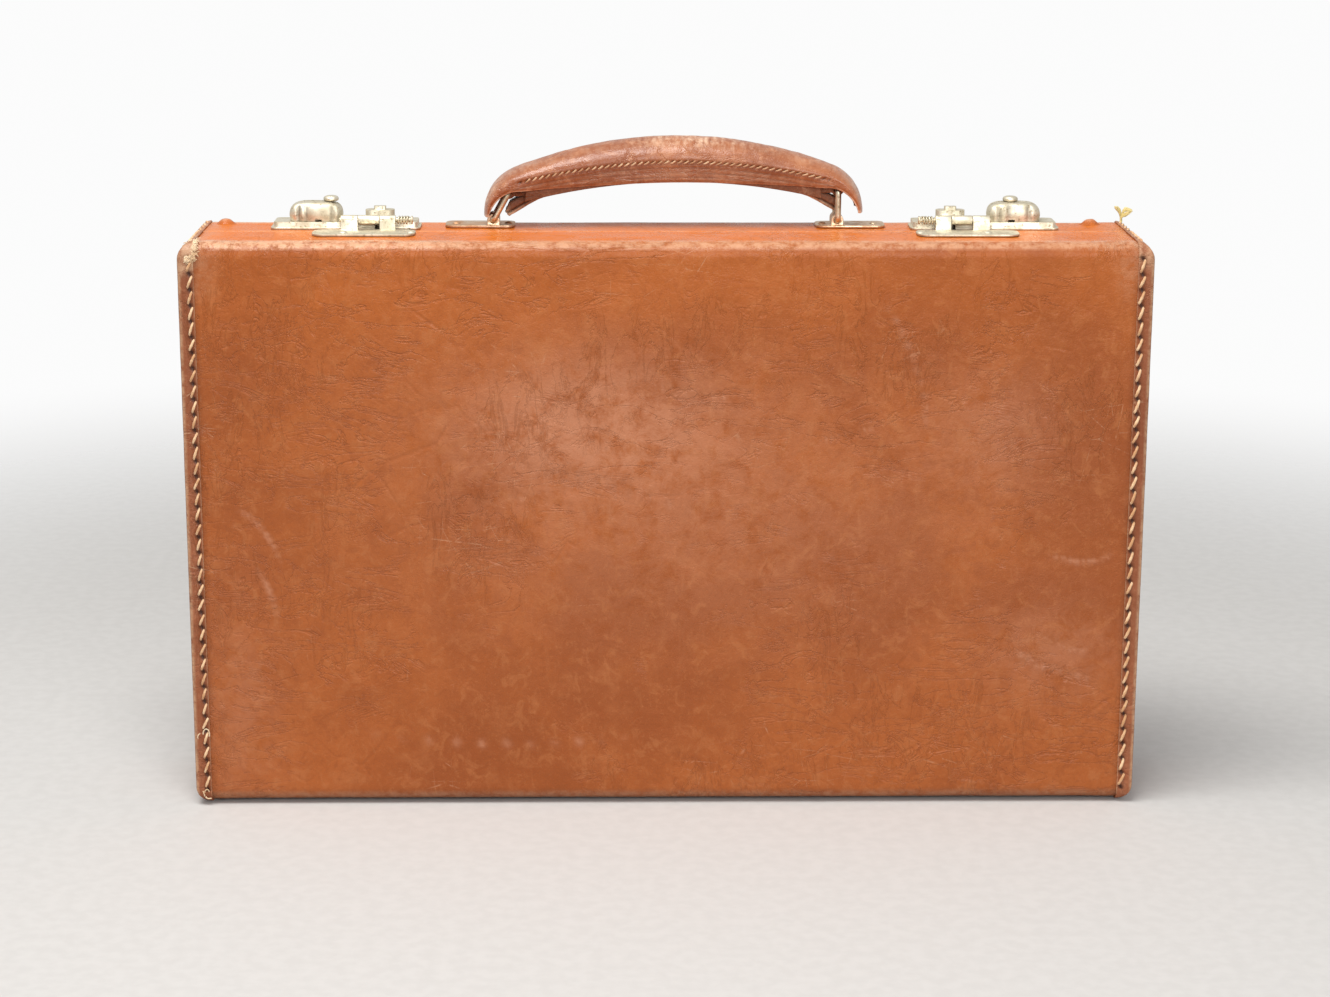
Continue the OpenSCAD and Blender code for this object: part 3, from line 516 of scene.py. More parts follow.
def box_mesh(name, boxes):
    """One object of separate boxes, each given by its low and its high corner."""
    verts, faces = [], []
    for (x0, y0, z0), (x1, y1, z1) in boxes:
        base = len(verts)
        plan = ((x0, y0), (x1, y0), (x1, y1), (x0, y1))
        verts += [(x * MM, y * MM, z * MM) for z in (z0, z1) for x, y in plan]
        faces += [tuple(base + k for k in f) for f in BOX_FACES]
    mesh = bpy.data.meshes.new(name)
    mesh.from_pydata(verts, [], faces)
    return placed(name, mesh)


def lock_box(e, along, across, height):
    """Corners of a box given from a lock's own middle and the top of the leather."""
    x0, x1 = sorted(e * (LOCK_X + u) for u in along)
    return (x0, across[0], TOP_Z + height[0]), (x1, across[1], TOP_Z + height[1])


def cut_out(obj, boxes, material):
    """Takes the boxes out of the object and returns its new mesh."""
    cutter = box_mesh("cutter", boxes)
    mod = obj.modifiers.new("cut", "BOOLEAN")
    mod.operation = "DIFFERENCE"
    mod.solver = "EXACT"
    mod.use_self = True
    mod.object = cutter
    mesh = baked(obj)
    finish(mesh, material)
    bpy.data.objects.remove(cutter)
    return mesh


def any_way(rng):
    """A vector whose three parts are drawn from -1 to 1."""
    return Vector((rng.uniform(-1, 1), rng.uniform(-1, 1), rng.uniform(-1, 1)))


def cloud(x, y, z, size, seed=0.0, octaves=3):
    """Smooth noise of about -1..1 with features of the given size."""
    return noise.fractal(Vector((x / size + seed, y / size - seed, z / size + 2 * seed)), 0.6, 2.0, octaves)


def ease(t):
    """A smooth step from 0 to 1, clamped outside."""
    t = min(max(t, 0.0), 1.0)
    return t * t * (3 - 2 * t)


# Case covers.

# Openings in the top leather below each lock plate, for the bolt and for the hasp's lug: along the case
# from the lock's middle, across the case, and up from the top of the leather.
WINDOWS = (((-14.4, 34.6), (4.4, 13.7), (-2.6, 3.0)), ((-1.7, 1.7), (-1.0, 5.0), (-2.6, 3.0)))


def cover_profile():
    """Outline of the cover leather in Y and Z: the outer side from the top rim round to the lower rim,
    and the inner side back up."""
    top, low = TOP_Z, LEAF_T
    y1 = HALF_D - EDGE_R
    outer = chain([(RIM, top - 2.0), (RIM, top - 1.4)], arc(RIM + 0.8, top - 0.8, 0.8, 180, 90, 5),
                  line((RIM + 0.8, top), (y1, top), 1.1), arc(y1, top - EDGE_R, EDGE_R, 90, 0, 10),
                  line((HALF_D, top - EDGE_R), (HALF_D, low + EDGE_R), 1.2),
                  arc(y1, low + EDGE_R, EDGE_R, 0, -90, 10),
                  line((y1, low), (3.3, low), 1.5), [(2.6, 1.5), (2.45, 2.3), (2.45, 3.0)])
    r = EDGE_R - LEATHER_T
    inner = chain([(6.0, 3.0), (y1, 3.0)], arc(y1, low + EDGE_R, r, -90, 0, 4),
                  line((HALF_D - 2, low + EDGE_R), (HALF_D - 2, top - EDGE_R), 26),
                  arc(y1, top - EDGE_R, r, 0, 90, 4), [(6.0, top - 2.0)])
    return outer, inner


# Patches of painted sheen on a face, a pale tone where light's reflection falls: strength, then middle and
# reach as X and Z.
SHEEN_PATCHES = (
    (1.0, -28, 148, 46, 25), (0.4, 14, 112, 100, 48), (0.45, 122, 145, 24, 24),
    (0.5, 146, 60, 26, 20), (0.4, -160, 40, 14, 40),
)


def painted_sheen_at(x, z):
    """Share of painted sheen at a point of a face."""
    return min(1.0, sum(k * exp(-((x - x0) / w) ** 2 - ((z - z0) / h) ** 2) for k, x0, z0, w, h in SHEEN_PATCHES))


# Creases pressed into the lid's face: ends and middle of each as X and Z, then its depth and width.
CREASES = (
    ((52, 139), (66, 144), (80, 147), 0.22, 0.8),
    ((-58, 136), (-42, 129), (-22, 131), 0.3, 1.1),
    ((-40, 133), (-22, 126), (-4, 127), 0.26, 1.0),
    ((-52, 128), (-20, 124), (26, 108), 0.26, 1.6),
    ((-66, 122), (-40, 117), (-10, 112), 0.2, 1.3),
    ((140, 99), (156, 95), (168, 99), 0.3, 1.0),
    ((128, 62), (146, 53), (166, 48), 0.34, 1.5),
    ((134, 70), (150, 62), (162, 60), 0.24, 1.2),
    ((-160, 116), (-150, 108), (-142, 92), 0.22, 1.1),
    ((-156, 96), (-148, 84), (-145, 66), 0.22, 1.2),
    ((78, 196), (92, 168), (96, 140), 0.16, 1.6),
    ((-6, 166), (10, 158), (34, 160), 0.18, 1.4),
    ((-120, 30), (-60, 24), (-8, 28), 0.16, 1.8),
)


def creased(x, z):
    """Depth of the creases at a point of the lid's face."""
    deep = 0.0
    for a, m, b, depth, width in CREASES:
        if not (min(a[0], m[0], b[0]) - 5 < x < max(a[0], m[0], b[0]) + 5):
            continue
        if not (min(a[1], m[1], b[1]) - 5 < z < max(a[1], m[1], b[1]) + 5):
            continue
        best, at = 99.0, 0.0
        for i in range(13):
            t = i / 12
            px = (1 - t) ** 2 * a[0] + 2 * t * (1 - t) * (2 * m[0] - (a[0] + b[0]) / 2) + t * t * b[0]
            pz = (1 - t) ** 2 * a[1] + 2 * t * (1 - t) * (2 * m[1] - (a[1] + b[1]) / 2) + t * t * b[1]
            gap = hypot(x - px, z - pz)
            if gap < best:
                best, at = gap, t
        deep += 1.5 * depth * exp(-(best / width) ** 2) * ease(at * 4) * ease((1 - at) * 4)
    return deep


def outward(outline):
    """Outward normal at each point of an outline in Y and Z."""
    normals = []
    for i in range(len(outline)):
        a, b = outline[max(i - 1, 0)], outline[min(i + 1, len(outline) - 1)]
        ty, tz = b[0] - a[0], b[1] - a[1]
        size = hypot(ty, tz)
        normals.append((-tz / size, ty / size))
    return normals


def outer_point(x, y, z, held, s, normal, free_x):
    """Moves one outer point of a cover for its waves and creases.
    Returns its new Y and Z, and its scuffs and painted highlight, its painted light from above, its painted
    sheen and its darkening."""
    bend_from = HALF_D - EDGE_R
    ny, nz = normal
    face = y > HALF_D - 0.3
    wave = 0.5 * cloud(x, y * s, z, 62, 3.1) + 0.25 * cloud(x, y * s, z, 21, 7.7)
    push = min((0.3 if face else 0.16) * wave - 0.17, 0.03)
    fold = painted_sheen_and_rub = 0.0
    if face:
        fold = creased(x, z) if s < 0 else 0.0
        push -= 0.05 * (1 + cloud(x, y * s, z, 6.0, 12.7, 3)) + fold
        painted_sheen_and_rub = painted_sheen_at(x * -s, z)
    push *= free_x * ease((y - 1.5) / 5)
    y, held = y + ny * push, held + nz * push
    if z < 100:
        wear_and_highlight = 0.4 * ease((y - bend_from) / 2.0) * ease((EDGE_R + 0.5 - z) / 2.5)
    else:
        # Scuffs and a painted highlight on the upper part of the top front edge, stronger to the left where
        # the reflection is brighter.
        turn = degrees(atan2(max(nz, 0.0), max(ny, 1e-6)))
        wear_and_highlight = 0.75 * ease((turn - 28) / 22) * ease((y - bend_from + 3.4) / 2.6)
        wear_and_highlight *= 1 + 0.6 * ease((-x - 60) / 60)
    wear_and_highlight = max(wear_and_highlight, 0.5 * ease((2.4 - y) / 1.6), 0.3 * ease((abs(x) - 160) / 11) * ease((z - 186) / 20))
    # Painted light from above: the flat top brightened, and faintly the upper face.
    painted_top_light = ease((z - 213.2) / 1.6) * ease((bend_from + 1.5 - y) / 2) + 0.14 * ease((z - 165) / 35) * face
    # Painted highlight: pale glints along the creases, in the sheen tone.
    painted_sheen_and_rub = max(painted_sheen_and_rub, min(1.0, 3.0 * fold * (1 + cloud(x, 0.0, z, 5.0, 3.3, 2))))
    # Darker towards the bottom edge and towards the ends.
    dark = 0.34 * ease((6.5 - z) / 4) + 0.16 * ease((abs(x) - 169.6) / 1.6)
    if face and s < 0:
        # Painted shade: a dark line just below each crease.
        dark += min(0.16, 0.4 * creased(x, z + 1.3))
        dark += 0.09 * exp(-((x - 139) / 8) ** 2 - ((z - 186) / 7) ** 2)
    return y, held, (wear_and_highlight, min(painted_top_light, 1.0), painted_sheen_and_rub, dark)


def cover(half, s):
    """The leather over the face, the top and the underside of one half."""
    outer, inner = cover_profile()
    pts = outer + inner
    normals = outward(outer)
    stations = chain([(-173.0,), (-172.0,)], line((-171.0,), (171.0,), 1.0), [(172.0,), (173.0,)])
    r = CORNER_R - LEATHER_T
    verts, marks = [], []
    for (x,) in stations:
        past = max(abs(x) - (CASE_W / 2 - CORNER_R), 0.0)
        drop = r - sqrt(max(r * r - past * past, 0.0))
        free_x = ease((169.5 - abs(x)) / 12)
        for i, (y, z) in enumerate(pts):
            held = min(max(z, LEAF_T + drop), TOP_Z - drop)
            mark = (0.0, 0.0, 0.0, 0.0)
            if i < len(outer):
                y, held, mark = outer_point(x, y, z, held, s, normals[i], free_x)
            verts.append((x, s * y, held))
            marks.append(mark)
    n = len(pts)
    last = (len(stations) - 1) * n
    faces = grid_faces(len(stations), n, False, True)
    faces += [tuple(range(n)), tuple(last + k for k in reversed(range(n)))]
    attrs = dict(zip(("wear_and_highlight", "painted_top_light", "painted_sheen_and_rub", "dark"), zip(*marks)))
    obj = piece(half + "_cover", verts, faces, TAN, None, attrs)
    if s > 0:
        cut_out(obj, [lock_box(e, *hole) for _, e in SIDES for hole in WINDOWS], TAN)
    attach(obj, half)
    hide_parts(half + "_wrap")


for half, s in HALVES:
    cover(half, s)


# End leather and seams.

def seam_places():
    """Middles of the stitches on a face, by height."""
    n = floor((CASE_H - 2 * EDGE_R - 4) / SEAM_PITCH)
    return [LEAF_T + CASE_H / 2 + (i - n / 2) * SEAM_PITCH for i in range(n + 1)]


def hole_pull(u, z, first, last, lean):
    """How strongly a point lies in a stitch hole, and on the seam's line, at u from that line."""
    if not first - 1 < z < last + 1:
        return 0.0, 0.0
    k = (z - first) / SEAM_PITCH
    dz = (k - round(k)) * SEAM_PITCH
    slant = (u + 0.38 * dz * lean) / 0.95
    return exp(-(slant ** 2 + (dz / 1.15) ** 2)), exp(-(u / 1.5) ** 2)


# Grain of the remeshed end leather on the lid, which the camera sees close, and on the body.
LID_GRAIN = 0.5
BODY_GRAIN = 0.7


def end_cap(half, s, side, e):
    """The end leather, remeshed finely and drawn in round its stitch holes."""
    node = "%s_end_%s" % (half, side)
    obj = node_copy(node, node + "_skin")
    fine = obj.modifiers.new("fine", "REMESH")
    fine.mode = "VOXEL"
    fine.voxel_size = (LID_GRAIN if s < 0 else BODY_GRAIN) * MM
    smooth = obj.modifiers.new("ease", "SMOOTH")
    smooth.factor = 0.5
    smooth.iterations = 2
    mesh = baked(obj)
    xs = CASE_W / 2 - SEAM_IN
    holes = [z + k * SEAM_PITCH / 2 for z in seam_places() for k in (-1, 1)]
    first, last = holes[0], holes[-1]
    wear_and_highlight, dark = [], []
    for v in mesh.vertices:
        x, y, z = (c / MM for c in v.co)
        w = d = 0.0
        if abs(y) > HALF_D - 0.2 and abs(x) > 170:
            near, seam = hole_pull(abs(x) - xs, z, first, last, -s * e)
            v.co.y -= copysign((0.62 * near + 0.16 * seam) * MM, y)
            # Painted shade in the stitch holes and along the seam's line.
            d = min(1.0, 1.25 * near ** 1.3 + 0.10 * seam)
            w = max(0.55 * ease((abs(x) - 176.2) / 1.2), 0.4 * ease((172.4 - abs(x)) / 0.6))
        lip = 0.05 * cloud(x, y, z, 6.0, 2.2, 2) + 0.1 * cloud(x, y, z, 18.0, 5.0, 2)
        v.co.x -= e * max(0.0, 0.1 + lip) * MM * 0.5 if abs(x) > 176 else 0.0
        corner = hypot(abs(x) - CASE_W / 2, z - TOP_Z)
        if e < 0 and s < 0:
            w = max(w, ease((13.5 - corner - 1.5 * lip) / 3.5) * (0.55 + 2.5 * lip))
            d = max(d, ease((13 - corner) / 3) * ease(-4 * lip - 0.1))
        else:
            w = max(w, 0.45 * ease((12 - corner) / 7))
        w = min(1.0, max(w, 0.4 * ease((z - (TOP_Z - 2)) / 2)))
        wear_and_highlight.append(w)
        dark.append(d)
    set_values(mesh, "wear_and_highlight", wear_and_highlight)
    set_values(mesh, "dark", dark)
    finish(mesh, LAP)
    mesh.polygons.foreach_set("use_smooth", [True] * len(mesh.polygons))
    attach(obj, half)
    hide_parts(node)


def bowed(middle, along, out, length, rise, sink, n=9):
    """Points of a stitch that comes up through one hole and goes down through the next."""
    pts = []
    for i in range(n):
        t = i / (n - 1)
        lift = rise * sin(pi * t) ** 0.6 - sink * (1 - sin(pi * t)) ** 3
        pts.append(tuple(m + a * length * (t - 0.5) + o * lift for m, a, o in zip(middle, along, out)))
    return pts


def seam_threads(half, s):
    """The slanted stitches of one half: down its face and across its top at both ends."""
    rng = random.Random(11 if s < 0 else 12)
    verts, faces = [], []
    xs = CASE_W / 2 - SEAM_IN
    base = HALF_D + LAP_T - 0.25
    for side, e in SIDES:
        for z in seam_places():
            lean = radians(rng.uniform(17, 27)) * -s
            size = rng.uniform(4.7, 5.4) if e > 0 else rng.uniform(4.3, 5.1)
            along = (sin(lean), 0.0, cos(lean))
            middle = (e * xs + rng.uniform(-0.08, 0.08), s * base, z + rng.uniform(-0.1, 0.1))
            pts = bowed(middle, along, (0, s, 0), size, 0.26, 0.85)
            thick = 0.56 if e > 0 else 0.5
            tube(pts, lambda t: thick * (0.72 + 0.28 * sin(pi * t)), 10, verts, faces, 0.10, 1.3)
        tilt = asin((CORNER_R - SEAM_IN) / CORNER_R)
        for i in range(floor((HALF_D - EDGE_R - 4) / SEAM_PITCH) + 1):
            y = HALF_D - EDGE_R - 2 - i * SEAM_PITCH
            out = (e * sin(tilt), 0, cos(tilt))
            r = CORNER_R - 0.12
            middle = (e * (CASE_W / 2 - CORNER_R) + out[0] * r, s * y, TOP_Z + LAP_T - CORNER_R + out[2] * r)
            lean = radians(rng.uniform(8, 16)) * e * s
            along = (sin(lean) * cos(tilt), cos(lean), -sin(lean) * sin(tilt) * e)
            pts = bowed(middle, along, out, rng.uniform(4.6, 5.2), 0.3, 0.7)
            tube(pts, 0.42, 10, verts, faces, 0.12, 1.6)
    obj = piece(half + "_stitches", verts, faces, THREAD, half, None, 70)
    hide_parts(half + "_thread")


for half, s in HALVES:
    for side, e in SIDES:
        end_cap(half, s, side, e)
    seam_threads(half, s)


# Handle.

# The crown's end as an angle and a height, and where the handle's own middle lies as it leans on its rings.
CROWN_PHI = degrees(asin(CROWN_X / CROWN_R))
CROWN_END = CROWN_Z - CROWN_R * (1 - cos(radians(CROWN_PHI)))
EYE_X = (2 * RING_X - RING_H * sin(radians(RING_LEAN))) / 2
EYE_Z = STAPLE_Z + RING_H * (1 + cos(radians(RING_LEAN))) / 2
HANDLE_X = RING_H * sin(radians(RING_LEAN)) / 2
HANDLE_TILT = -atan(RING_H * (1 - cos(radians(RING_LEAN))) / (2 * EYE_X))


def crown_pt(p):
    """X and Z of the crown line, arc and curled end, at a tilt of p degrees."""
    a, phi = radians(p), radians(CROWN_PHI)
    if abs(p) <= CROWN_PHI:
        return CROWN_R * sin(a), CROWN_Z - CROWN_R * (1 - cos(a))
    return (copysign(CROWN_X + CURL_R * (sin(abs(a)) - sin(phi)), p),
            CROWN_END - CURL_R * (cos(phi) - cos(a)))


def on_crown(p):
    """Share of the way out from the middle of the crown's arc."""
    return min(abs(p) / CROWN_PHI, 1.0)


def on_curl(p):
    """Share of the way round the curled end."""
    return max(abs(p) - CROWN_PHI, 0.0) / (90 - CROWN_PHI)


def dome_at(p):
    """Depth of the handle's waist, where its dome ends."""
    return GRIP_DOME - (GRIP_DOME - CURL_DOME) * on_crown(p) ** 2.2 - (CURL_DOME - END_DOME) * on_curl(p)


def skirt_at(p):
    """Depth of the flange's lower edge."""
    return GRIP_D - (GRIP_D - CURL_D) * on_crown(p) ** 2.2 - (CURL_D - END_D) * on_curl(p)


def on_handle(x, y, z):
    """A point drawn about the handle's own middle, placed on the case."""
    c, s_ = cos(HANDLE_TILT), sin(HANDLE_TILT)
    dz = z - EYE_Z
    return HANDLE_X + x * c + dz * s_, HANDLE_Y + y, TOP_Z + EYE_Z - x * s_ + dz * c


def lay(p, y, n, drop=0.0):
    """The point at depth n below the crown line, at tilt p and across at y."""
    cx, cz = crown_pt(p)
    a = radians(p)
    return on_handle(cx - n * sin(a), y, cz - drop - n * cos(a))


def handle_stations(step):
    """Tilts along the handle, with the distance run along its crown."""
    out = []
    crown = radians(CROWN_PHI) * CROWN_R
    curl = radians(90 - CROWN_PHI) * CURL_R
    n = round(curl / step)
    for i in range(n):
        out.append((-90 + (90 - CROWN_PHI) * i / n, -crown - curl * (1 - i / n)))
    n = round(2 * crown / step)
    for i in range(n + 1):
        out.append((-CROWN_PHI + 2 * CROWN_PHI * i / n, -crown + 2 * crown * i / n))
    n = round(curl / step)
    for i in range(1, n + 1):
        out.append((CROWN_PHI + (90 - CROWN_PHI) * i / n, crown + curl * i / n))
    return out


FLANGE_STEPS = 16
DOME_STEPS = 44


def handle_section(p, run, crown):
    """Points across the handle leather at one station, its outer and its inner ones.
    Each is its Y, its depth below the crown, its kind and its share of the dome's rise or of the flange."""
    h, d = dome_at(p), skirt_at(p)
    hood = ease((abs(run) - crown + 10) / 12)
    lip = GRIP_SKIRT + (GRIP_B - 0.15 - GRIP_SKIRT) * hood
    half = []
    for j in range(FLANGE_STEPS + 1):
        t = j / FLANGE_STEPS
        n = d + (h - d) * t
        round_off = 0.55 * (1 - ease(t * 7)) if t < 0.15 else 0.0
        half.append((lip + (GRIP_B - lip) * t ** 1.4 - round_off, n, "flange", t))
    dome = []
    for j in range(1, DOME_STEPS):
        a = pi * (1 - j / DOME_STEPS)
        dome.append((GRIP_B * cos(a), h * (1 - sin(a)), "dome", sin(a)))
    outer = [(-y, n, k, t) for y, n, k, t in half] + dome + list(reversed(half))
    bi, b2 = GRIP_B - GRIP_T, lip - GRIP_T
    inner = [(b2, d, "in", 0), (bi, h, "in", 0)]
    for j in range(1, 12):
        a = pi * j / 12
        inner.append((bi * cos(a), GRIP_T + max(h - GRIP_T, 0.1) * (1 - sin(a)), "in", 0))
    inner += [(-bi, h, "in", 0), (-b2, d, "in", 0)]
    return h, d, hood, outer, inner


def handle_point(y, n, kind, t, h, d, hood, run, crown):
    """Moves one outer point for padding, seam and flange layers. Returns y, n, its scuffs and painted sheen,
    and its darkening with painted shade.
    """
    over = max(abs(run) - crown, 0.0)
    sewn = 1 - ease((over + 0.5) / 1.5)
    near_seam = exp(-((n - h - 0.5) / 0.6) ** 2) * sewn * (abs(y) > GRIP_B * 0.8)
    notch = 0.5 + 0.5 * cos(2 * pi * (run + 0.9 * (n - h)) / GRIP_PITCH)
    lump = cloud(run, y, n, 8.0, 1.7, 3)
    y -= copysign(near_seam * (0.25 + 0.5 * notch), y)
    # Painted shade in the stitch notches along the seam.
    dark = min(1.0, near_seam * (0.12 + 1.05 * notch ** 3))
    if kind == "dome":
        n += (0.16 - 0.14 * lump) * t
        # Scuffs over the dome's top, partly a painted sheen.
        painted_sheen_and_rub = 0.22 + 0.78 * ease(1 - abs(run - 9) / 28)
        streaks = 0.5 + 0.9 * cloud(run, y * 0.3, 0.0, 1.6, 6.6, 3)
        wear_and_highlight = ease((t - 0.45) / 0.4) * painted_sheen_and_rub * min(max(streaks, 0.0), 1.0) + 0.55 * ease(over / 14) * t
    else:
        depth = n - h
        layer = 0.5 - 0.5 * cos(2 * pi * depth / 1.75)
        drift = 0.5 + 0.5 * cloud(run * 0.35, y, n * 2.0, 6.0, 9.1, 2)
        groove = (layer ** 4) * ease((depth - 1.6) / 1.0) * ease((d - n) / 0.7) * (0.4 + 0.6 * drift)
        y -= copysign(0.16 * groove - 0.3 * hood * exp(-((d - n - 0.5) / 0.6) ** 2), y)
        # Painted shade in the grooves between the flange's layers.
        dark = max(dark, 0.5 * groove)
        lip = 0.85 * ease((n - d + 0.75) / 0.6) * (0.45 + 0.55 * hood)
        wear_and_highlight = max(lip, 0.3 * drift * ease((depth - 1.4) / 2))
    return y, n, min(wear_and_highlight, 1.0), dark


def end_strips(base, n_out, count, flip):
    """Closes the thin ring at one end of the handle leather, between its outer and its inner points."""
    faces, i, j = [], 0, count - 1
    n_in = count - n_out
    while i < n_out - 1 or j > n_out:
        if j == n_out or (i < n_out - 1 and i / (n_out - 1) <= (count - 1 - j) / (n_in - 1)):
            tri = (base + i, base + i + 1, base + j)
            i += 1
        else:
            tri = (base + i, base + j - 1, base + j)
            j -= 1
        faces.append(tri[::-1] if flip else tri)
    return faces


def handle_cover():
    """Outer leather of the handle: a padded dome, a stitched waist and a stiff layered flange."""
    stations = handle_stations(0.4)
    crown = radians(CROWN_PHI) * CROWN_R
    verts, wear_and_highlight, dark = [], [], []
    last = len(stations) - 1
    for k, (p, run) in enumerate(stations):
        h, d, hood, outer, inner = handle_section(p, run, crown)
        drop = CURL_END if k in (0, last) else 0.0
        for y, n, kind, t in outer:
            y, n, w, dk = handle_point(y, n, kind, t, h, d, hood, run, crown)
            verts.append(lay(p, y, n, drop))
            wear_and_highlight.append(max(w, 0.9 * ease((abs(p) - 84) / 6)))
            dark.append(dk)
        for y, n, kind, t in inner:
            verts.append(lay(p, y, n, drop))
            wear_and_highlight.append(0.0)
            # Painted shade on the inner side.
            dark.append(0.25)
    count = len(outer) + len(inner)
    faces = grid_faces(len(stations), count, False, True)
    faces += end_strips(0, len(outer), count, False) + end_strips(last * count, len(outer), count, True)
    attrs = {"wear_and_highlight": wear_and_highlight, "dark": dark}
    obj = piece("handle_skin", verts, faces, GRIP, "handle", attrs, 50)
    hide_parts("handle_cover")


def handle_stitches():
    """Small slanting stitches along the handle's waist on both sides."""
    rng = random.Random(5)
    verts, faces = [], []
    run_out = radians(CROWN_PHI - 0.6) * CROWN_R
    n = floor(2 * run_out / GRIP_PITCH)
    for side in (-1, 1):
        for i in range(n):
            run = (i - n / 2 + 0.5) * GRIP_PITCH
            ends = []
            for t in range(7):
                q = t / 6 - 0.5
                pp = degrees((run + q * 2.1) / CROWN_R)
                out = GRIP_B - 0.12 + 0.22 * cos(pi * q) - 0.75 * abs(2 * q) ** 3
                ends.append(lay(pp, side * (out + rng.uniform(-0.03, 0.03)), dome_at(pp) + 0.5 - q * 1.15))
            tube(ends, 0.36, 7, verts, faces)
    obj = piece("handle_stitches", verts, faces, GRIP_THREAD, "handle", None, 70)
    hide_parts("handle_thread")


# Turned-in end of the strap: points of its lower and of its upper side from root to tip, as X and Z.
TONGUE_LOW = ((47.0, 12.3), (50.5, 11.1), (54.0, 9.3), (57.0, 7.5), (59.6, 6.0), (61.8, 4.9))
TONGUE_TOP = ((47.0, 14.2), (51.0, 13.6), (55.0, 12.6), (58.6, 11.6), (61.6, 9.9), (63.2, 6.6))
TONGUE_B = 4.3
TONGUE_STEPS = 6
TONGUE_RIM = 14


def between(points, t):
    """The point at share t along a list of points."""
    at = t * (len(points) - 1)
    i = min(int(at), len(points) - 2)
    return tuple(a + (b - a) * (at - i) for a, b in zip(points[i], points[i + 1]))


def handle_tongues():
    """The strap's ends, turned in round the rings, layered and frayed at the tip."""
    rng = random.Random(8)
    verts, faces, wear_and_highlight, dark = [], [], [], []
    rows = (len(TONGUE_LOW) - 1) * TONGUE_STEPS + 1
    for _, e in SIDES:
        base = len(verts)
        for i in range(rows):
            t = i / (rows - 1)
            low, top = between(TONGUE_LOW, t), between(TONGUE_TOP, t)
            tall = dist(low, top)
            ring = [(-1 + 2 * k / 6, 0.0) for k in range(7)]
            ring += [(1.0, k / TONGUE_RIM) for k in range(1, TONGUE_RIM)]
            ring += [(1 - 2 * k / 6, 1.0) for k in range(7)]
            ring += [(-1.0, 1 - k / TONGUE_RIM) for k in range(1, TONGUE_RIM)]
            for c, v in ring:
                edge = min(v, 1 - v) * tall
                groove = exp(-((v * tall - 1.5) / 0.3) ** 2) * (tall > 2.4)
                y = TONGUE_B - 0.35 * (1 - ease(edge / 0.5)) - 0.4 * groove
                y += 0.14 * cloud(e * low[0], v * 4, 0.0, 3.0, 5.5, 2)
                fray = rng.uniform(-0.35, 0.25) * (t > 0.92)
                x, z = (a + (b - a) * v for a, b in zip(low, top))
                verts.append(on_handle(e * (x + fray), c * y, z + fray * 0.5))
                wear_and_highlight.append(max(ease((1.3 - v * tall) / 0.6), ease((t - 0.8) / 0.2)))
                # Painted shade in the groove along each side, and darker towards the upper side.
                dark.append(0.7 * groove + 0.25 * v)
        cols = len(ring)
        faces += [tuple(base + q for q in f) for f in grid_faces(rows, cols, False, True)]
        for start, flip in ((base, True), (base + (rows - 1) * cols, False)):
            middle = len(verts)
            loop = verts[start:start + cols]
            verts.append(tuple(sum(q[k] for q in loop) / cols for k in range(3)))
            wear_and_highlight.append(0.8)
            dark.append(0.3)
            fan = [(start + k, start + (k + 1) % cols, middle) for k in range(cols)]
            faces += [f[::-1] for f in fan] if flip else fan
    piece("strap_ends", verts, faces, STRAP, "handle", {"wear_and_highlight": wear_and_highlight, "dark": dark}, 50)


handle_cover()
handle_stitches()
handle_tongues()
softened("handle_strap", STRAP, "handle", 0.35, 3)
softened("handle_core", EDGE, "handle", 0.3, 2)


def ring_piece(side, e):
    """A wire ring with bent corners."""
    lean = radians(RING_LEAN if e < 0 else 0)
    r = 1.6
    loop = chain([(-RING_B + r, 0), (RING_B - r, 0)], arc(RING_B - r, r, r, -90, 0, 6),
                 [(RING_B, RING_H - r)], arc(RING_B - r, RING_H - r, r, 0, 90, 6),
                 [(-RING_B + r, RING_H)], arc(-RING_B + r, RING_H - r, r, 90, 180, 6),
                 [(-RING_B, r)], arc(-RING_B + r, r, r, 180, 270, 6)[:-1])
    fine = []
    for i, p in enumerate(loop):
        q = loop[(i + 1) % len(loop)]
        fine += line(p, q, 0.7)[:-1]
    segs = 16
    verts = []
    n = len(fine)
    for i, (y, z) in enumerate(fine):
        a, b = fine[i - 1], fine[(i + 1) % n]
        ty, tz = b[0] - a[0], b[1] - a[1]
        size = hypot(ty, tz)
        ty, tz = ty / size, tz / size
        for c, h in circle(segs):
            u, v = WIRE_R * c, WIRE_R * h
            py, pz = y + tz * u, z - ty * u
            verts.append((e * RING_X + v * cos(lean) + pz * sin(lean), HANDLE_Y + py,
                          TOP_Z + STAPLE_Z - v * sin(lean) + pz * cos(lean)))
    faces = grid_faces(n, segs, True, True)
    obj = piece(side + "_ring_wire", verts, faces, RING, side + "_ring", None, 60)
    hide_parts(side + "_ring")


for side, e in SIDES:
    ring_piece(side, e)
    softened(side + "_handle_plate", PLATE, "body", 0.2)
softened("handle_rivets", PLATE, "body", 0.12)


# Locks, hinges, studs.

# Flutes pressed into each lock's dome: middle along the case from the dome's own middle, depth, half width.
FLUTES = {
    -1: ((6.2, 0.75, 0.75), (3.4, 0.6, 0.6), (0.9, 0.5, 0.6), (-6.6, 0.45, 0.9)),
    1: ((-1.6, 0.95, 1.0), (0.9, 0.5, 0.55), (-6.0, 0.5, 0.9), (5.2, 0.55, 0.9)),
}
DOME_MID = (24.0, 10.0)
DOME_HALF = (9.95, 5.95)
DOME_WALL = 0.6
DECK_Z = 2.8
DOME_Z = 10.0


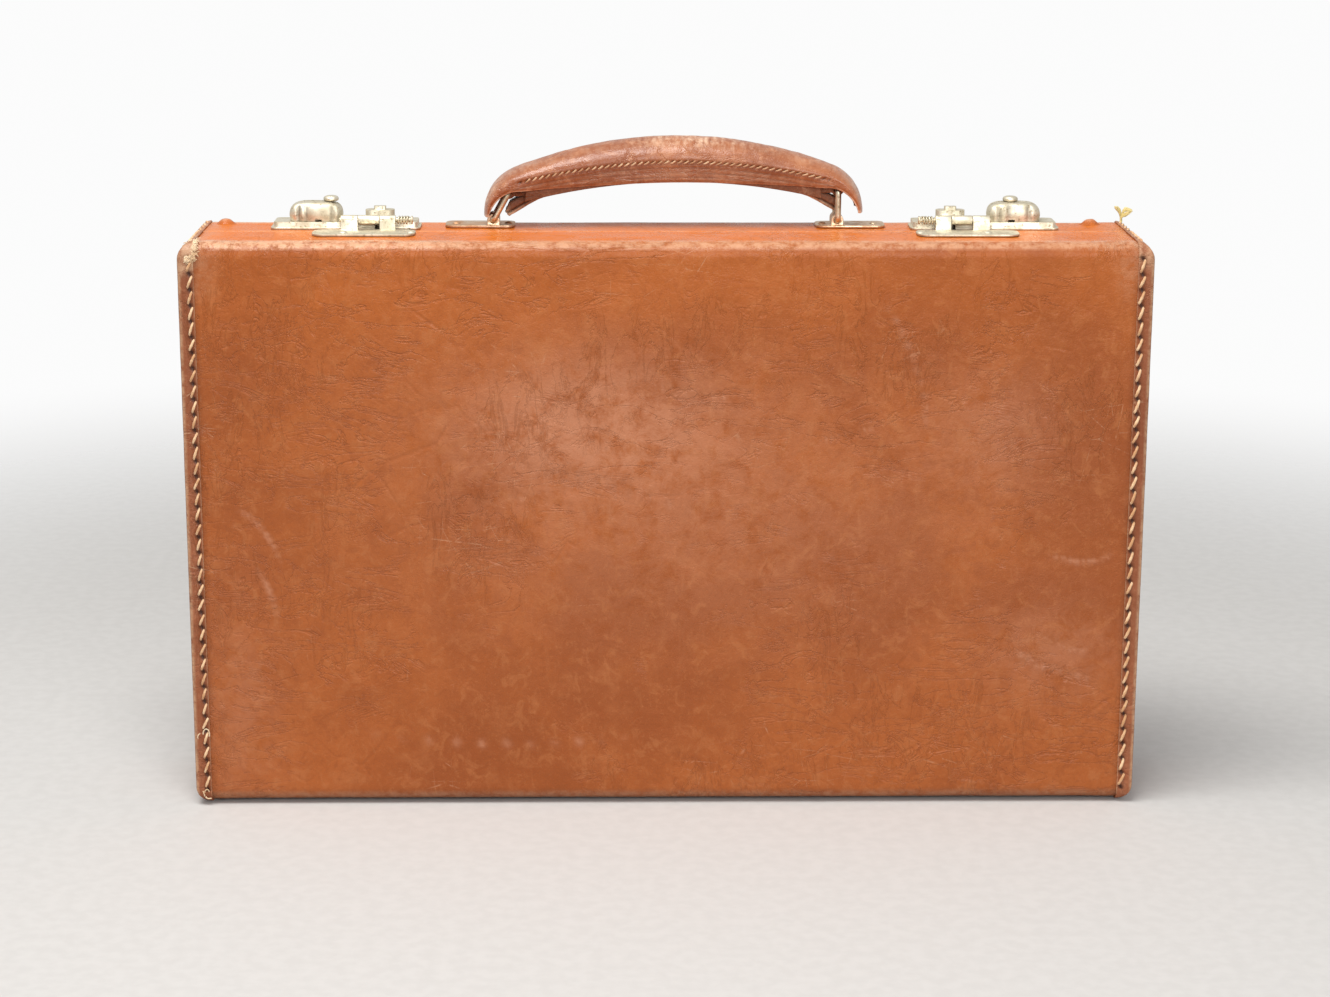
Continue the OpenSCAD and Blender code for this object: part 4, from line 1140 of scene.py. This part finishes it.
def flute(e, u, level):
    """How far the dome's wall is pressed in at u from its middle, at a share of its height."""
    deep = sum(d * exp(-((u - at) / w) ** 2) for at, d, w in FLUTES[e])
    return deep * ease((1.0 - level) / 0.3) * (0.55 + 0.45 * ease(level / 0.35))


def dome_rings(e, inset):
    """Points of the dome's surface, ring by ring from its foot to its crown."""
    a, b = DOME_HALF[0] - inset, DOME_HALF[1] - inset
    tall = DOME_Z - DECK_Z - inset
    rings, segs = 22, 132
    out = []
    for i in range(rings):
        level = sin(pi / 2 * i / (rings - 1)) ** 1.15
        share = (1 - level ** 3.9) ** (1 / 3.9) if i < rings - 1 else 0.02
        waist = 0.3 * (1 - ease(level / 0.4))
        for c, n in circle(segs):
            u = copysign(abs(c) ** 0.47, c) * (a * share - waist)
            v = copysign(abs(n) ** 0.47, n) * (b * share - waist)
            press = flute(e, u, level) * ease(abs(v) / b * 1.6)
            v -= copysign(min(press, abs(v) * 0.5), v)
            out.append((u, v, DECK_Z + tall * level))
    return out, rings, segs


# Slots of the dome, for the knob's neck and in its foot, in the measures of WINDOWS.
DOME_SLOTS = (((15.6, 29.0), (9.0, 11.0), (6.5, 11.0)), ((21.6, 24.0), (2.0, 6.5), (1.0, 3.7)))

# Radius and height of the sliding knob, from its neck up over its rim to its crown.
KNOB_LINE = (
    (0.78, 6.4), (0.78, 10.0), (2.25, 10.06), (2.68, 10.25), (2.85, 10.6), (2.87, 10.95),
    (2.72, 11.35), (2.35, 11.7), (1.75, 11.95), (1.0, 12.07), (0.5, 12.1),
)
# Place of each knob along the case from its lock's middle.
KNOB_U = {-1: 18.4, 1: 22.8}


def knob(side, e):
    """The round knob that slides on the dome, on its neck."""
    segs = 40
    x0, y0 = e * (LOCK_X + KNOB_U[e]), DOME_MID[1]
    verts = [(x0 + r * c, y0 + r * n, TOP_Z + z) for r, z in KNOB_LINE for c, n in circle(segs)]
    faces = grid_faces(len(KNOB_LINE), segs, False, True)
    faces.append(tuple(reversed(range(segs))))
    last = (len(KNOB_LINE) - 1) * segs
    verts.append((x0, y0, TOP_Z + KNOB_LINE[-1][1] + 0.01))
    faces += [(last + k, last + (k + 1) % segs, last + segs) for k in range(segs)]
    # Painted shade on the neck and under the rim.
    dark = [0.5 * ease((10.6 - z) / 0.3) for _, z in KNOB_LINE for _ in range(segs)] + [0.0]
    obj = piece(side + "_knob_turned", verts, faces, NICKEL, side + "_slide", {"dark": dark}, 50)
    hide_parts(side + "_slide_knob")


def lock_dome(side, e):
    """The fluted housing over a lock's bolt: a thin pressed shell, slotted on top for the knob."""
    outer, rings, segs = dome_rings(e, 0.0)
    inner = dome_rings(e, DOME_WALL)[0]
    verts = [(e * (LOCK_X + DOME_MID[0] + u), DOME_MID[1] + v, TOP_Z + z) for u, v, z in outer + inner]
    half = rings * segs
    faces = grid_faces(rings, segs, False, True)
    faces += [tuple(half + k for k in reversed(f)) for f in faces]
    faces += [(k, half + k, half + (k + 1) % segs, (k + 1) % segs) for k in range(segs)]
    faces.append(tuple(half - segs + k for k in range(segs)))
    faces.append(tuple(2 * half - segs + k for k in reversed(range(segs))))
    obj = piece(side + "_lock_dome", verts, faces, NICKEL, "body", None, 50)
    mesh = cut_out(obj, [lock_box(e, *hole) for hole in DOME_SLOTS], NICKEL)
    shade = []
    for q in mesh.vertices:
        u = e * q.co.x / MM - LOCK_X - DOME_MID[0]
        level = (q.co.z / MM - TOP_Z - DECK_Z) / (DOME_Z - DECK_Z)
        shade.append(min(1.0, 0.75 * flute(e, u, level) + 0.6 * ease((0.08 - level) / 0.08)))
    set_values(mesh, "dark", shade)
    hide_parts(side + "_lock_case")


for side, e in SIDES:
    softened(side + "_lock_plate", NICKEL, "body", 0.22)
    lock_dome(side, e)
    softened(side + "_slide_bolt", NICKEL, side + "_slide", 0.12)
    knob(side, e)
    softened(side + "_hasp_plate", NICKEL, "lid", 0.2)
    softened(side + "_hasp", NICKEL, side + "_hasp", 0.2)
    softened(side + "_hasp_pin", RING, "lid", 0.15)
    softened(side + "_hasp_spring", RING, "lid", 0.05, 1)
    softened(side + "_hinge_body_leaf", BRASS, "body", 0.15)
    softened(side + "_hinge_lid_leaf", BRASS, "lid", 0.15)
    softened(side + "_hinge_pin", BRASS, "body", 0.2)
softened("body_lock_rivets", NICKEL, "body", 0.12)
softened("lid_lock_rivets", NICKEL, "lid", 0.12)
softened("body_hinge_rivets", BRASS, "body", 0.15)
softened("lid_hinge_rivets", BRASS, "lid", 0.15)


def studs():
    """Leather-covered bumps by the far corners, blended into the leather round them."""
    verts, faces, wear_and_highlight = [], [], []
    rings, segs = 12, 32
    for x0 in STUD_XS:
        base = len(verts)
        for i in range(rings + 1):
            t = i / rings
            r = STUD_R * t
            rise = STUD_H * (1 - ease((t - 0.3) / 0.7)) * (1 - 0.12 * t)
            for c, n in circle(segs):
                x, y = x0 + r * c, r * n
                lump = 0.1 * cloud(x, y, rise, 2.4, 4.0, 2)
                verts.append((x, STUD_Y + y, TOP_Z - 0.15 + rise + lump * (t < 1)))
                wear_and_highlight.append(0.85 * ease((0.75 - t) / 0.5))
        top = len(verts)
        faces += [tuple(base + q for q in f) for f in grid_faces(rings + 1, segs, False, True)[segs:]]
        verts.append((x0, STUD_Y, TOP_Z - 0.17 + STUD_H))
        wear_and_highlight.append(0.85)
        faces += [(base + segs + k, base + segs + (k + 1) % segs, top) for k in range(segs)]
        faces.append(tuple(base + rings * segs + k for k in range(segs)))
    # The studs' tops get scuffs and painted light from above.
    attrs = {"wear_and_highlight": wear_and_highlight, "painted_top_light": [0.35] * len(wear_and_highlight)}
    obj = piece("leather_studs", verts, faces, TAN, "body", attrs, 80)
    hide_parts("top_studs")


def cap_point(s, x, angle):
    """A point on the end leather where the case's long top edge turns down at its corner."""
    past = max(abs(x) - (CASE_W / 2 - CORNER_R), 0.0)
    drop = CORNER_R - sqrt(max(CORNER_R ** 2 - past ** 2, 0.0))
    r = EDGE_R + LAP_T - 0.1
    a = radians(angle)
    return Vector((x, s * (HALF_D - EDGE_R + r * cos(a)), TOP_Z - EDGE_R + r * sin(a) - drop))


# Slack loops of the seam's thread, as X and Z, half width and half height, first angle and sweep.
LOOPS = (
    (-173.2, 28.6, 1.2, 1.9, -0.6, 3.9), (-175.6, 27.4, 0.9, 1.2, 1.2, 2.8),
    (-173.8, 4.9, 0.9, 1.5, 0.4, 2.6), (-172.9, 3.4, 1.3, 0.6, 2.9, 2.4), (-175.3, 4.2, 0.5, 1.4, -0.4, 2.2),
)


def frays():
    """Loose fibres where the leather and the thread have worn through at the near left corners."""
    rng = random.Random(21)
    verts, faces = [], []
    for i in range(240):
        angle = rng.uniform(2, 84)
        at = cap_point(-1, -rng.uniform(171.2, 175.6), angle)
        way = any_way(rng).normalized()
        slope = radians(angle)
        out = Vector((-0.25, -cos(slope), sin(slope))).normalized()
        pts = []
        for k in range(6):
            lift = 0.28 * sin(pi * k / 5) * rng.uniform(0.3, 1.0)
            pts.append(tuple(at + out * (lift - 0.12)))
            way = (way + 0.7 * any_way(rng)).normalized()
            step = way - out * way.dot(out)
            at = at + step.normalized() * rng.uniform(0.3, 0.55)
        tube(pts, rng.uniform(0.09, 0.19), 5, verts, faces)
    for x0, z0, wide, tall, turn, sweep in LOOPS:
        pts = []
        for k in range(15):
            a = turn + sweep * k / 14
            drift = 0.25 * cloud(x0, z0, k * 0.2, 1.0, 8.8, 2)
            y = -HALF_D - LAP_T + 0.3 - 0.2 * sin(pi * k / 14)
            pts.append((x0 + (wide + drift) * cos(a), y, z0 + (tall - drift) * sin(a)))
        tube(pts, 0.24, 8, verts, faces, 0.12, 3)
    piece("corner_frays", verts, faces, FLUFF, "lid", None, 70)


def tuft():
    """The loose end of thread that stands up by the far right corner, its plies spread apart."""
    rng = random.Random(4)
    verts, faces = [], []
    root = Vector((173.6, 21.0, TOP_Z + LAP_T - 0.9))
    for i in range(44):
        spread = rng.uniform(-1, 1)
        to_right = i % 3 != 0
        reach = rng.uniform(3.0, 4.2) if to_right else rng.uniform(-2.8, -1.2)
        pts = []
        for k in range(9):
            t = k / 8
            bend = ease((t - 0.3) / 0.7)
            jog = any_way(rng) * 0.14 * t
            rise = 4.2 * ease(t * 1.6) + (0.9 * bend if to_right else 2.2 * bend)
            fan = 1.9 * sin(pi * min(bend * 0.85 + 0.12, 1.0)) * spread
            along = reach * bend + 0.3 * spread * (1 - bend)
            up = rise + fan * (0.9 if to_right else 0.4)
            pts.append(tuple(root + jog + Vector((along, 0.9 * spread * t, up))))
        tube(pts, lambda q: 0.3 * (1 - 0.35 * q), 6, verts, faces)
    piece("loose_thread", verts, faces, TUFT, "body", None, 70)


frays()
tuft()
studs()

for half, s in HALVES:
    for node, mat in ((half + "_board", BOARD), (half + "_lining", LINING)):
        obj = frame["nodes"][node]
        for slot in obj.material_slots:
            slot.material = mat


# Floor, light, camera.

# Half the floor's width, and the distances from its middle between which it fades out, in metres.
FLOOR_HALF = 2.0
FLOOR_FADE = (0.34, 0.86)


def stage():
    """A pale floor that fades out into the white of the world behind."""
    m = Mat("pale_floor")
    speck = m.noise(180, 3.0, 0.5)
    tone = m.mix(m.span(speck, 0.3, 0.7), (0.60, 0.59, 0.575), (0.63, 0.62, 0.605))
    m.set(Base_Color=tone, Roughness=0.9, Specular_IOR_Level=0.2)
    gap = m.node("ShaderNodeVectorMath")
    gap.operation = "LENGTH"
    m.link(m.coords, gap.inputs[0])
    m.set(Alpha=m.span(gap.outputs["Value"], *FLOOR_FADE, 1.0, 0.0))
    h = FLOOR_HALF
    mesh = bpy.data.meshes.new("floor")
    mesh.from_pydata([(-h, -h, 0), (h, -h, 0), (h, h, 0), (-h, h, 0)], [], [(0, 1, 2, 3)])
    mesh.materials.append(m.mat)
    obj = placed("floor", mesh)


def lamp(name, place, aim, size, power, tint=(1, 1, 1)):
    """A soft rectangular lamp at a place, turned to what it aims at, in metres and watts."""
    data = bpy.data.lights.new(name, "AREA")
    data.shape = "RECTANGLE"
    data.size, data.size_y = size
    data.energy = power
    data.color = tint
    obj = placed(name, data)
    obj.location = place
    obj.rotation_euler = (Vector(aim) - Vector(place)).to_track_quat("-Z", "Y").to_euler()


# Brightness of the white world as light, in reflections and as the background.
WORLD_SOFT = 0.40
WORLD_GLOSS = 0.62
WORLD_SEEN = 0.97


def world():
    """A white world with its own brightness for light, for reflections and for the camera."""
    w = bpy.data.worlds.new("studio")
    w.use_nodes = True
    bpy.context.scene.world = w
    tree = w.node_tree
    back = tree.nodes["Background"]
    back.inputs["Color"].default_value = (1.0, 1.0, 1.0, 1)
    path = tree.nodes.new("ShaderNodeLightPath")
    level = WORLD_SOFT
    for ray, value in (("Is Glossy Ray", WORLD_GLOSS), ("Is Camera Ray", WORLD_SEEN)):
        swap = tree.nodes.new("ShaderNodeMix")
        swap.data_type = "FLOAT"
        tree.links.new(path.outputs[ray], swap.inputs["Factor"])
        swap.inputs["B"].default_value = value
        if isinstance(level, float):
            swap.inputs["A"].default_value = level
        else:
            tree.links.new(level, swap.inputs["A"])
        level = swap.outputs["Result"]
    tree.links.new(level, back.inputs["Strength"])


stage()
world()
lamp("key", (-0.25, -0.35, 1.2), (0, 0, 0.2), (0.8, 0.5), 13.5, (1.0, 0.985, 0.96))
lamp("front", (0.35, -1.7, 0.8), (0, 0, 0.12), (1.0, 0.7), 12.5)

# The camera: lens and sensor in millimetres, place in metres, then pan, tilt and roll in degrees.
LENS = 78.26
SENSOR = 36.0
CAM_PLACE = (-0.020, -1.0699, 0.3761)
CAM_PAN = -1.07
CAM_TILT = 76.16
CAM_ROLL = 0.19


def camera():
    """The place from which the photograph was taken."""
    data = bpy.data.cameras.new("camera")
    data.lens = LENS
    data.sensor_width = SENSOR
    cam = placed("camera", data)
    turns = [Matrix.Rotation(radians(a), 4, axis) for a, axis in
             ((CAM_PAN, "Z"), (CAM_TILT, "X"), (CAM_ROLL, "Z"))]
    cam.matrix_world = Matrix.Translation(CAM_PLACE) @ turns[0] @ turns[1] @ turns[2]
    bpy.context.scene.camera = cam


camera()
bpy.context.scene.view_settings.view_transform = "Standard"
